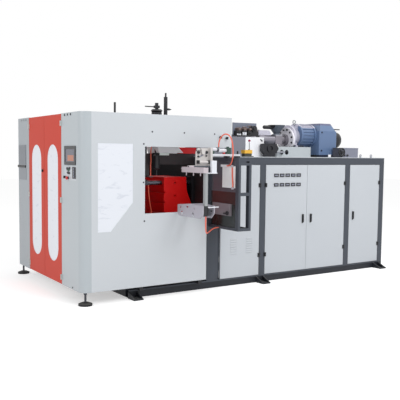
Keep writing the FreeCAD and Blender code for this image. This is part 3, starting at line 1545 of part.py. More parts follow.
def tangent_tube(points, radius, name):
    # straight runs joined by the largest tangent arcs that the runs allow
    corners = [V(*p) for p in points]
    edges, here, radii, length = [], corners[0], [], 0.0
    for i in range(1, len(corners) - 1):
        before, corner, after = corners[i - 1], corners[i], corners[i + 1]
        a, b = (before - corner), (after - corner)
        run = min(a.Length, b.Length)
        a.normalize()
        b.normalize()
        turn = math.pi - a.getAngle(b)
        set_back = 0.45 * run
        arc_radius = set_back / math.tan(turn / 2)
        radii.append(arc_radius)
        start, end = corner + a * set_back, corner + b * set_back
        bisector = (a + b)
        bisector.normalize()
        centre = corner + bisector * (arc_radius / math.cos(turn / 2))
        middle = centre - bisector * arc_radius
        edges += [Part.LineSegment(here, start).toShape(), Part.Arc(start, middle, end).toShape()]
        length += (start - here).Length + arc_radius * turn
        here = end
    edges.append(Part.LineSegment(here, corners[-1]).toShape())
    length += (corners[-1] - here).Length
    path = Part.Wire(edges)
    section = Part.Wire(Part.makeCircle(radius, corners[0], corners[1] - corners[0]))
    solid = path.makePipeShell([section], True, False)
    ideal = math.pi * radius ** 2 * length
    print(name, "length", round(length), "volume ratio", round(solid.Volume / ideal, 4),
          "radii", [round(r) for r in radii])
    return solid


def hose(name):
    radius = thin_hose_radius if name in thin_hoses else hose_radius
    return tangent_tube(hose_routes[name], radius, name)


nodes = {
    "base_frame": base_frame,
    "cabinet_frame": cabinet_frame,
    "cabinet_panels": cabinet_panels,
    "door_hinges": door_hinges,
    "housing_front_panel": housing_front_panel,
    "housing_corner_columns": housing_corner_columns,
    "housing_rear_panels": housing_rear_panels,
    "housing_frame": housing_frame,
    "front_window": front_window,
    "levelling_feet": levelling_feet,
    "operator_panel": operator_panel,
    "start_button": start_button,
    "mode_switch": mode_switch,
    "emergency_stop": emergency_stop,
    "clamp_bed": clamp_bed,
    "carriage": carriage,
    "tie_bars": tie_bars,
    "platen_left": platen_left,
    "platen_right": platen_right,
    "blow_bridge": blow_bridge,
    "blow_pin_cylinder": blow_pin_cylinder,
    "blow_pin": blow_pin,
    "height_handwheel": height_handwheel,
    "die_head": die_head,
    "extruder_barrel": extruder_barrel,
    "extruder_screw": extruder_screw,
    "heater_bands": heater_bands,
    "hopper": hopper,
    "extruder_stands": extruder_stands,
    "main_motor": main_motor,
    "barrel_cover": barrel_cover,
    "feed_blower": feed_blower,
    "valve_manifold": valve_manifold,
    "control_box": control_box,
    "hand_valve": hand_valve,
    "hand_valve_lever": hand_valve_lever,
    "outlet_guard_frame": outlet_guard_frame,
    "outlet_guard_panels": outlet_guard_panels,
    "takeout_support": takeout_support,
    "takeout_arm": takeout_arm,
    "gripper_jaw": gripper_jaw,
    "air_service_unit": air_service_unit,
    "louvre_door": louvre_door,
    "meter_door": meter_door,
    "plain_door": lambda: bay_door(*door_bays()[2]),
    "right_door": lambda: bay_door(*door_bays()[3]),
    "end_door_front": lambda: front_leaf(end_door(end_leaf_width(), 1, False)),
    "end_door_rear": lambda: rear_leaf(end_door(end_leaf_width(), -1, True)),
    "end_door_front_window": lambda: front_leaf(end_window()),
    "end_door_rear_window": lambda: rear_leaf(end_window()),
    "end_door_latch": end_door_latch,
}
handles = ("louvre_door_handle", "meter_door_handle", "plain_door_handle", "right_door_handle")
for i, name in enumerate(handles):
    nodes[name] = lambda i=i: swing_handle(door_bays()[i][2])
for name in hose_routes:
    nodes[name] = lambda name=name: hose(name)

shapes = {name: make() for name, make in nodes.items()}

# The origin is under the middle of the machine's own box, on the floor
box = FreeCAD.BoundBox()
for name, shape in shapes.items():
    if name not in hose_routes:
        box.add(shape.BoundBox)
origin = V((box.XMin + box.XMax) / 2, (box.YMin + box.YMax) / 2, box.ZMin)

os.makedirs("parts", exist_ok=True)
for name, shape in shapes.items():
    shape.translate(-origin)
    shape.exportStep("parts/" + name + ".step")
print(len(shapes), "sub-parts, box", box, "origin", origin)
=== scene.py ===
import math

import bmesh
import bpy
from mathutils import Matrix, Vector


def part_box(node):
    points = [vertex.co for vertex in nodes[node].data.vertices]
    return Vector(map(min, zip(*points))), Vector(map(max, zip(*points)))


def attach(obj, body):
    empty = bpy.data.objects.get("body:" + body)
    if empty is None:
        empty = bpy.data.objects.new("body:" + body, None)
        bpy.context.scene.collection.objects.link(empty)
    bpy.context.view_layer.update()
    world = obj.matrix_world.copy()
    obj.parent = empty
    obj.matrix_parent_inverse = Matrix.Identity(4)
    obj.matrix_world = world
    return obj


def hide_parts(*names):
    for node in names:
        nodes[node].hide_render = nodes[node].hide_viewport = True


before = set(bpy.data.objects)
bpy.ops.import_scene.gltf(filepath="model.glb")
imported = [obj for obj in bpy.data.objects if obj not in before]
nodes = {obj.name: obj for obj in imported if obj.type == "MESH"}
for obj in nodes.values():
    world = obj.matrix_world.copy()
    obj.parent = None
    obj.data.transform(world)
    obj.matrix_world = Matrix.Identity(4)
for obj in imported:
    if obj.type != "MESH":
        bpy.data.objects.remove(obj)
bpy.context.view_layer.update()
bpy.context.scene.view_settings.view_transform = "Standard"

# Places are given as on the workshop drawing: x to the right from the housing's left face, y back from the
# cabinet's front, z up, in metres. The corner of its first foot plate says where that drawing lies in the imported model.
sillCorner = (0.587, -0.152)
drawingZero = Vector((sillCorner[0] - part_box("base_frame")[0].x, sillCorner[1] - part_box("base_frame")[0].y, 0))


def at(x, y, z):
    return Vector((x, y, z)) - drawingZero


def tint(red, green, blue):
    # a colour read as 0-255 display values, as the shader's linear one; the numbers are the display curve's own
    def linear(value):
        value /= 255
        return value / 12.92 if value <= 0.04045 else ((value + 0.055) / 1.055) ** 2.4
    return (linear(red), linear(green), linear(blue), 1)


# Camera

cameraView = {
    "place": (-2.515, -6.2144, 1.600),
    "lens": 57.21,
    "yaw": 32.99379,
    "pitch": 4.17917,
    "roll": -0.61126,
    "sensor": 36,
    "reach": 200,
}


def setCamera(view):
    yaw, pitch, roll = (math.radians(view[key]) for key in ("yaw", "pitch", "roll"))
    ahead = Vector((math.sin(yaw) * math.cos(pitch), math.cos(yaw) * math.cos(pitch), -math.sin(pitch)))
    level = Vector((math.cos(yaw), -math.sin(yaw), 0))
    below = ahead.cross(level)
    right = level * math.cos(roll) + below * math.sin(roll)
    down = below * math.cos(roll) - level * math.sin(roll)
    data = bpy.data.cameras.new("camera")
    data.sensor_width = view["sensor"]
    data.lens = view["lens"]
    data.clip_end = view["reach"]
    camera = bpy.data.objects.new("camera", data)
    bpy.context.collection.objects.link(camera)
    turn = Matrix((right, -down, -ahead)).transposed()
    camera.matrix_world = Matrix.Translation(at(*view["place"])) @ turn.to_4x4()
    bpy.context.scene.camera = camera


setCamera(cameraView)
print("camera set")

# Hoses: the same routes as the CAD model's, in the drawing's metres

hose = {"radius": 0.007, "thinRadius": 0.0065, "thin": ("blow_pin", "platen"), "order": 3, "steps": 8,
        "facets": 4}
hoseRoutes = {
    "arch": [(1.548, -0.330, 1.676), (1.548, -0.330, 1.718), (1.557, -0.335, 1.758), (1.570, -0.354, 1.797),
             (1.588, -0.392, 1.822), (1.607, -0.434, 1.814), (1.622, -0.464, 1.776), (1.631, -0.477, 1.722),
             (1.635, -0.483, 1.658), (1.634, -0.487, 1.594), (1.633, -0.481, 1.542), (1.634, -0.460, 1.496),
             (1.634, -0.418, 1.466), (1.634, -0.372, 1.466)],
    "drop": [(1.646, -0.458, 1.450), (1.646, -0.458, 1.410), (1.645, -0.461, 1.364), (1.644, -0.467, 1.316),
             (1.646, -0.472, 1.270), (1.646, -0.472, 1.230)],
    "gripper": [(1.192, -0.621, 0.936), (1.192, -0.621, 0.888), (1.196, -0.614, 0.838), (1.212, -0.593, 0.792),
                (1.244, -0.552, 0.758), (1.290, -0.492, 0.736), (1.346, -0.414, 0.722), (1.412, -0.332, 0.715),
                (1.476, -0.262, 0.716), (1.524, -0.226, 0.726), (1.570, -0.207, 0.742), (1.612, -0.205, 0.752),
                (1.645, -0.205, 0.752)],
    "blow_pin": [(0.989, 0.216, 1.700), (0.989, 0.216, 1.662), (0.978, 0.208, 1.620), (0.974, 0.202, 1.565),
                 (0.975, 0.200, 1.510), (0.971, 0.202, 1.450), (0.974, 0.206, 1.386), (0.974, 0.206, 1.334)],
    "platen": [(0.992, 0.290, 1.228), (0.992, 0.290, 1.180), (0.997, 0.288, 1.120), (1.003, 0.286, 1.060),
               (1.013, 0.286, 1.000), (1.026, 0.287, 0.944), (1.031, 0.289, 0.892), (1.018, 0.290, 0.840),
               (0.990, 0.290, 0.808), (0.950, 0.290, 0.800), (0.920, 0.290, 0.800)],
}
hoseBodies = {"platen": "platen_left"}  # the others stay on the machine


def hosePiece(name, route):
    curve = bpy.data.curves.new("hose_" + name + "_tube", "CURVE")
    curve.dimensions = "3D"
    spline = curve.splines.new("NURBS")
    spline.points.add(len(route) - 1)
    radius = hose["thinRadius"] if name in hose["thin"] else hose["radius"]
    for point, place in zip(spline.points, route):
        point.co = (*at(*place), 1)
        point.radius = radius
    spline.order_u = hose["order"]
    spline.use_endpoint_u = True
    spline.resolution_u = hose["steps"]
    curve.bevel_depth = 1  # times each point's radius, so that the curve's own box is as wide as the hose
    curve.bevel_resolution = hose["facets"]
    curve.use_fill_caps = True
    piece = bpy.data.objects.new("hose_" + name + "_tube", curve)
    bpy.context.collection.objects.link(piece)
    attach(piece, hoseBodies.get(name, "machine"))
    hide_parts("hose_" + name)
    return piece


hosePieces = [hosePiece(name, route) for name, route in hoseRoutes.items()]
print("hoses laid:", len(hosePieces))

# Shader building

def addNode(tree, kind, **values):
    made = tree.nodes.new(kind)
    for key, value in values.items():
        socket = key.replace("_", " ")
        if socket in made.inputs:
            made.inputs[socket].default_value = value
        else:
            setattr(made, key, value)
    return made


def feed(tree, value, socket):
    # links what varies over the surface, and sets what doesn't
    if isinstance(value, bpy.types.NodeSocket):
        tree.links.new(value, socket)
    else:
        socket.default_value = value


def shaderGroup(name, inputs, outputs):
    tree = bpy.data.node_groups.new(name, "ShaderNodeTree")
    for way, sockets in (("INPUT", inputs), ("OUTPUT", outputs)):
        for label, kind in sockets.items():
            tree.interface.new_socket(label, in_out=way, socket_type="NodeSocket" + kind)
    return tree, tree.nodes.new("NodeGroupInput"), tree.nodes.new("NodeGroupOutput")


noises = {
    "peel": {"Detail": 3},
    "clouds": {"Detail": 4, "Roughness": 0.6},
    "chips": {"Scale": 45, "Detail": 5, "Roughness": 0.65},
    "dust": {"Scale": 6, "Detail": 7, "Roughness": 0.7},
    "foldReflectionNoise": {"Scale": 1.5, "Detail": 3, "Distortion": 0.8},
}


def noise(tree, name):
    return addNode(tree, "ShaderNodeTexNoise", **noises[name])


def sprayGrain():
    # the fine orange peel of sprayed paint, and its faint clouds of tone
    inputs, outputs = {"Grain": "Float", "Clouds": "Float"}, {"Height": "Float", "Cloud": "Float"}
    tree, start, end = shaderGroup("sprayGrain", inputs, outputs)
    place = addNode(tree, "ShaderNodeTexCoord")
    fine, broad = noise(tree, "peel"), noise(tree, "clouds")
    tree.links.new(place.outputs["Object"], fine.inputs["Vector"])
    tree.links.new(place.outputs["Object"], broad.inputs["Vector"])
    tree.links.new(start.outputs["Grain"], fine.inputs["Scale"])
    tree.links.new(start.outputs["Clouds"], broad.inputs["Scale"])
    tree.links.new(fine.outputs["Fac"], end.inputs["Height"])
    tree.links.new(broad.outputs["Fac"], end.inputs["Cloud"])
    return tree


wearing = {"samples": 4, "from": 0.45, "to": 0.62, "spread": 9}


def edgeWear():
    # where edges have lost their gloss: the rounded normal departs from the flat one there
    inputs, outputs = {"Radius": "Float", "Wear": "Float"}, {"Mask": "Float", "Normal": "Vector"}
    tree, start, end = shaderGroup("edgeWear", inputs, outputs)
    rounded = addNode(tree, "ShaderNodeBevel", samples=wearing["samples"])
    flat = addNode(tree, "ShaderNodeNewGeometry")
    dot = addNode(tree, "ShaderNodeVectorMath", operation="DOT_PRODUCT")
    gap = addNode(tree, "ShaderNodeMath", operation="SUBTRACT")
    gap.inputs[0].default_value = 1
    place = addNode(tree, "ShaderNodeTexCoord")
    chips = noise(tree, "chips")
    sharp = addNode(tree, "ShaderNodeMapRange", From_Min=wearing["from"], From_Max=wearing["to"])
    grown = addNode(tree, "ShaderNodeMath", operation="MULTIPLY", use_clamp=True)
    grown.inputs[1].default_value = wearing["spread"]
    chipped = addNode(tree, "ShaderNodeMath", operation="MULTIPLY")
    worn = addNode(tree, "ShaderNodeMath", operation="MULTIPLY", use_clamp=True)
    tree.links.new(start.outputs["Radius"], rounded.inputs["Radius"])
    tree.links.new(rounded.outputs["Normal"], dot.inputs[0])
    tree.links.new(flat.outputs["True Normal"], dot.inputs[1])
    tree.links.new(dot.outputs["Value"], gap.inputs[1])
    tree.links.new(gap.outputs["Value"], grown.inputs[0])
    tree.links.new(place.outputs["Object"], chips.inputs["Vector"])
    tree.links.new(chips.outputs["Fac"], sharp.inputs["Value"])
    tree.links.new(grown.outputs["Value"], chipped.inputs[0])
    tree.links.new(sharp.outputs["Result"], chipped.inputs[1])
    tree.links.new(chipped.outputs["Value"], worn.inputs[0])
    tree.links.new(start.outputs["Wear"], worn.inputs[1])
    tree.links.new(worn.outputs["Value"], end.inputs["Mask"])
    tree.links.new(rounded.outputs["Normal"], end.inputs["Normal"])
    return tree


def insideBox():
    # one inside a box whose corners are given, and nothing outside it
    tree, start, end = shaderGroup("insideBox", {"Low": "Vector", "High": "Vector"}, {"Mask": "Float"})
    place = addNode(tree, "ShaderNodeTexCoord")
    sides = []
    for corner, first in (("Low", True), ("High", False)):
        gap = addNode(tree, "ShaderNodeVectorMath", operation="SUBTRACT")
        tree.links.new(place.outputs["Object"], gap.inputs[0 if first else 1])
        tree.links.new(start.outputs[corner], gap.inputs[1 if first else 0])
        split = addNode(tree, "ShaderNodeSeparateXYZ")
        tree.links.new(gap.outputs["Vector"], split.inputs["Vector"])
        sides += [split.outputs[axis] for axis in "XYZ"]
    least = sides[0]
    for side in sides[1:]:
        lower = addNode(tree, "ShaderNodeMath", operation="MINIMUM")
        tree.links.new(least, lower.inputs[0])
        tree.links.new(side, lower.inputs[1])
        least = lower.outputs["Value"]
    inside = addNode(tree, "ShaderNodeMath", operation="GREATER_THAN")
    inside.inputs[1].default_value = 0
    tree.links.new(least, inside.inputs[0])
    tree.links.new(inside.outputs["Value"], end.inputs["Mask"])
    return tree


dustLie = {"steep": 0.2, "level": 0.95, "from": 0.35, "to": 0.7}


def lieOfDust():
    # dust and handling marks gather on what faces up, broken by broad and fine noise
    tree, start, end = shaderGroup("lieOfDust", {"Amount": "Float"}, {"Mask": "Float"})
    flat = addNode(tree, "ShaderNodeNewGeometry")
    split = addNode(tree, "ShaderNodeSeparateXYZ")
    upward = addNode(tree, "ShaderNodeMapRange", From_Min=dustLie["steep"], From_Max=dustLie["level"])
    place = addNode(tree, "ShaderNodeTexCoord")
    speck = noise(tree, "dust")
    broken = addNode(tree, "ShaderNodeMapRange", From_Min=dustLie["from"], From_Max=dustLie["to"])
    lying = addNode(tree, "ShaderNodeMath", operation="MULTIPLY")
    mask = addNode(tree, "ShaderNodeMath", operation="MULTIPLY", use_clamp=True)
    tree.links.new(flat.outputs["Normal"], split.inputs["Vector"])
    tree.links.new(split.outputs["Z"], upward.inputs["Value"])
    tree.links.new(place.outputs["Object"], speck.inputs["Vector"])
    tree.links.new(speck.outputs["Fac"], broken.inputs["Value"])
    tree.links.new(upward.outputs["Result"], lying.inputs[0])
    tree.links.new(broken.outputs["Result"], lying.inputs[1])
    tree.links.new(lying.outputs["Value"], mask.inputs[0])
    tree.links.new(start.outputs["Amount"], mask.inputs[1])
    tree.links.new(mask.outputs["Value"], end.inputs["Mask"])
    return tree


groups = {make.__name__: make() for make in (sprayGrain, edgeWear, insideBox, lieOfDust)}


def useGroup(tree, name, **values):
    made = tree.nodes.new("ShaderNodeGroup")
    made.node_tree = groups[name]
    for key, value in values.items():
        made.inputs[key].default_value = value
    return made


def mixed(tree, mask, first, second, kind="FLOAT"):
    # blends two values or colours by a mask; each may be a socket or a plain value
    made = addNode(tree, "ShaderNodeMix", data_type=kind)
    sockets, result = {"FLOAT": ((2, 3), 0), "RGBA": ((6, 7), 2)}[kind]
    tree.links.new(mask, made.inputs[0])
    for index, value in zip(sockets, (first, second)):
        feed(tree, value, made.inputs[index])
    return made.outputs[result]


wornPaint = {"rougher": 0.2, "roughest": 0.9, "peelDepth": 0.0004, "coatRoughness": 0.08}
clouding = {"from": 0.3, "to": 0.75}
dustLook = {"colour": tint(168, 166, 160), "roughness": 0.85}


def finish(name, look, parts=(), coat=0.0):
    # sprayed or bare metal: a base finish, and others inside boxes on the same node
    material = bpy.data.materials.new(name)
    material.use_nodes = True
    tree = material.node_tree
    shader = tree.nodes["Principled BSDF"]
    grain = useGroup(tree, "sprayGrain", Grain=look["grain"], Clouds=look["clouds"])
    colour, roughness, metallic = look["colour"], look["roughness"], look["metallic"]
    for low, high, other in parts:
        mask = useGroup(tree, "insideBox", Low=at(*low), High=at(*high)).outputs["Mask"]
        colour = mixed(tree, mask, colour, other["colour"], "RGBA")
        roughness = mixed(tree, mask, roughness, other["roughness"])
        metallic = mixed(tree, mask, metallic, other["metallic"])
    darker = addNode(tree, "ShaderNodeMix", data_type="RGBA", blend_type="MULTIPLY")
    darker.inputs[7].default_value = (*look["cloudTint"], 1)
    strength = addNode(tree, "ShaderNodeMapRange", From_Min=clouding["from"], From_Max=clouding["to"],
                       To_Max=look["cloud"])
    tree.links.new(grain.outputs["Cloud"], strength.inputs["Value"])
    tree.links.new(strength.outputs["Result"], darker.inputs[0])
    feed(tree, colour, darker.inputs[6])
    wear = useGroup(tree, "edgeWear", Radius=look["edge"], Wear=look["wear"])
    worn = min(wornPaint["roughest"], look["roughness"] + wornPaint["rougher"])
    colour = mixed(tree, wear.outputs["Mask"], darker.outputs[2], look["bare"], "RGBA")
    roughness = mixed(tree, wear.outputs["Mask"], roughness, worn)
    dust = useGroup(tree, "lieOfDust", Amount=look["dust"])
    colour = mixed(tree, dust.outputs["Mask"], colour, dustLook["colour"], "RGBA")
    roughness = mixed(tree, dust.outputs["Mask"], roughness, dustLook["roughness"])
    tree.links.new(colour, shader.inputs["Base Color"])
    tree.links.new(roughness, shader.inputs["Roughness"])
    feed(tree, metallic, shader.inputs["Metallic"])
    bump = addNode(tree, "ShaderNodeBump", Strength=look["peel"], Distance=wornPaint["peelDepth"])
    tree.links.new(grain.outputs["Height"], bump.inputs["Height"])
    tree.links.new(wear.outputs["Normal"], bump.inputs["Normal"])
    tree.links.new(bump.outputs["Normal"], shader.inputs["Normal"])
    shader.inputs["Specular IOR Level"].default_value = look["specular"]
    shader.inputs["Coat Weight"].default_value = coat
    shader.inputs["Coat Roughness"].default_value = wornPaint["coatRoughness"]
    return material


plainPaint = {"metallic": 0.0, "specular": 0.5, "grain": 420.0, "peel": 0.12, "clouds": 1.6, "cloud": 0.25,
              "cloudTint": (0.86, 0.87, 0.9), "edge": 0.0015, "wear": 0.35, "bare": tint(150, 152, 155), "dust": 0.25}


def paint(red, green, blue, roughness=0.42, **more):
    return {**plainPaint, "colour": tint(red, green, blue), "roughness": roughness, **more}


looks = {
    "frame": paint(71, 76, 85, 0.48, cloud=0.2, specular=0.35, bare=tint(112, 114, 118)),
    # painted shade: the darker colour given to the frames' lowest part, near the floor
    "paintedShadeSill": paint(35, 38, 45, 0.5),
    "sheet": paint(208, 213, 218, 0.36, cloud=0.12, wear=0.12, bare=tint(186, 190, 193)),
    # painted shade: the left-facing columns take a darker colour than the front sheet's for the shade on their faces
    "column": paint(188, 196, 201, 0.36, cloud=0.12, wear=0.1, bare=tint(186, 190, 193)),
    "rearColumn": paint(164, 171, 177, 0.4),
    "keyPlate": paint(203, 208, 214, 0.3),
    "door": paint(200, 205, 211, 0.38, cloud=0.12, wear=0.12, bare=tint(185, 187, 190)),
    "red": paint(210, 68, 50, 0.5, specular=0.2, cloud=0.15, cloudTint=(0.92, 0.84, 0.82), wear=0.12,
                 bare=tint(190, 120, 108)),
    "casting": paint(240, 12, 12, 0.36, specular=0.35, cloud=0.35, cloudTint=(0.8, 0.6, 0.6), grain=180.0, peel=0.3,
                     bare=tint(206, 130, 126)),
    "brightRed": paint(240, 24, 34, 0.3, cloud=0.3),
    "black": paint(26, 27, 32, 0.42, cloud=0.3, bare=tint(84, 86, 92)),
    "beam": paint(64, 58, 60, 0.4, cloud=0.3, bare=tint(96, 94, 96)),
    # painted shade: near-black put on inner faces where the housing and the pedestal lie in shade
    "inside": paint(20, 21, 24, 0.6),
    "rubber": paint(24, 25, 28, 0.75, cloud=0.3),
    "steel": paint(170, 172, 180, 0.34, metallic=0.85, cloud=0.3),
    "ground": paint(104, 106, 114, 0.26, metallic=1.0, cloud=0.25),
    "satin": paint(250, 251, 254, 0.42, cloud=0.16),
    "blue": paint(103, 126, 162, 0.36, cloud=0.2, cloudTint=(0.78, 0.82, 0.92), wear=0.3, bare=tint(168, 184, 206)),
    "navy": paint(28, 36, 56, 0.5),
    "gun": paint(66, 67, 74, 0.36, metallic=0.6, cloud=0.3),
    "barrel": paint(146, 142, 150, 0.34, metallic=0.75, cloud=0.35),
    "brightBand": paint(146, 143, 152, 0.28, metallic=0.9, cloud=0.3),
    "cream": paint(214, 210, 208, 0.4, cloud=0.15),
    "rose": paint(204, 194, 200, 0.4, cloud=0.2),
    "lilac": paint(176, 176, 190, 0.4, cloud=0.15),
    "mist": paint(204, 202, 216, 0.38, cloud=0.12),
    "flange": paint(236, 234, 242, 0.36, cloud=0.15),
    "deflash": paint(186, 184, 194, 0.4),
    "chalk": paint(250, 251, 255, 0.35, cloud=0.04, wear=0.1),
    "guardWhite": paint(252, 254, 255, 0.4, cloud=0.04, wear=0.05),
    "mint": paint(244, 254, 249, 0.35),
    "ash": paint(128, 129, 140, 0.42, cloud=0.12, wear=0.15),
    "capBlue": paint(104, 108, 138, 0.4),
    "pedestal": paint(190, 197, 201, 0.4, cloud=0.1, wear=0.12),
    # painted shade: the dark grey given to the control box's left side, which lies in shade
    "boxSidePaintedShade": paint(84, 84, 92, 0.45),
    "celadon": paint(206, 212, 211, 0.4, cloud=0.1, wear=0.12),
    "white": paint(232, 234, 241, 0.35, cloud=0.08, wear=0.1),
    "boxPaint": paint(136, 139, 154, 0.42, cloud=0.15),
    "hangPost": paint(164, 168, 170, 0.42),
    "yellow": paint(238, 184, 62, 0.32, cloud=0.15),
    "olive": paint(58, 60, 52, 0.5),
    "redPlastic": paint(206, 30, 28, 0.28, cloud=0.1, wear=0.0),
    "magenta": paint(168, 36, 84, 0.25),
    "green": paint(52, 78, 68, 0.4, cloud=0.1, wear=0.0),
    "buttonGreen": paint(34, 120, 66, 0.3, cloud=0.1, wear=0.0),
    "hose": paint(243, 110, 84, 0.38, cloud=0.15, wear=0.0, dust=0.08, edge=0.0003),
    "slate": paint(92, 93, 101, 0.28, cloud=0.1, wear=0.0, dust=0.1),
    "umber": paint(72, 56, 56, 0.22),
    "bottle": paint(42, 47, 46, 0.22),
    "mauve": paint(130, 122, 128, 0.45),
    "screen": paint(26, 28, 34, 0.3, cloud=0.1, wear=0.0, dust=0.05),
    "display": paint(100, 100, 114, 0.16),
    "displayLit": paint(190, 118, 88, 0.16),
    "brown": paint(120, 102, 98, 0.4),
    "manifoldBack": paint(120, 126, 142, 0.42),
    "rearGrille": paint(146, 151, 158, 0.45),
    "blowerBlack": paint(22, 23, 32, 0.28, cloud=0.3),
    "hopperSteel": paint(96, 104, 116, 0.4, metallic=0.3, cloud=0.3),
    "milky": paint(236, 240, 248, 0.3, cloud=0.06, wear=0.0, dust=0.05),
}


def dress(names, material):
    for name in names:
        data = nodes[name].data
        data.materials.clear()
        data.materials.append(material)


# One finish for each group of CAD nodes. A part names a piece of them that has another look, inside a box given by
# two corners in the drawing's metres. Where two boxes overlap, the later one wins.
far = 9  # outside the machine on every side
cabinetTop = 1.566
proud = -0.0003  # just outside a door's outer face
# The frames' lowest part near the floor takes a darker colour, which is painted shade there.
paintedShadeNearFloor = ("paintedShadeSill", (-1, -2, -0.1), (far, far, 0.075))

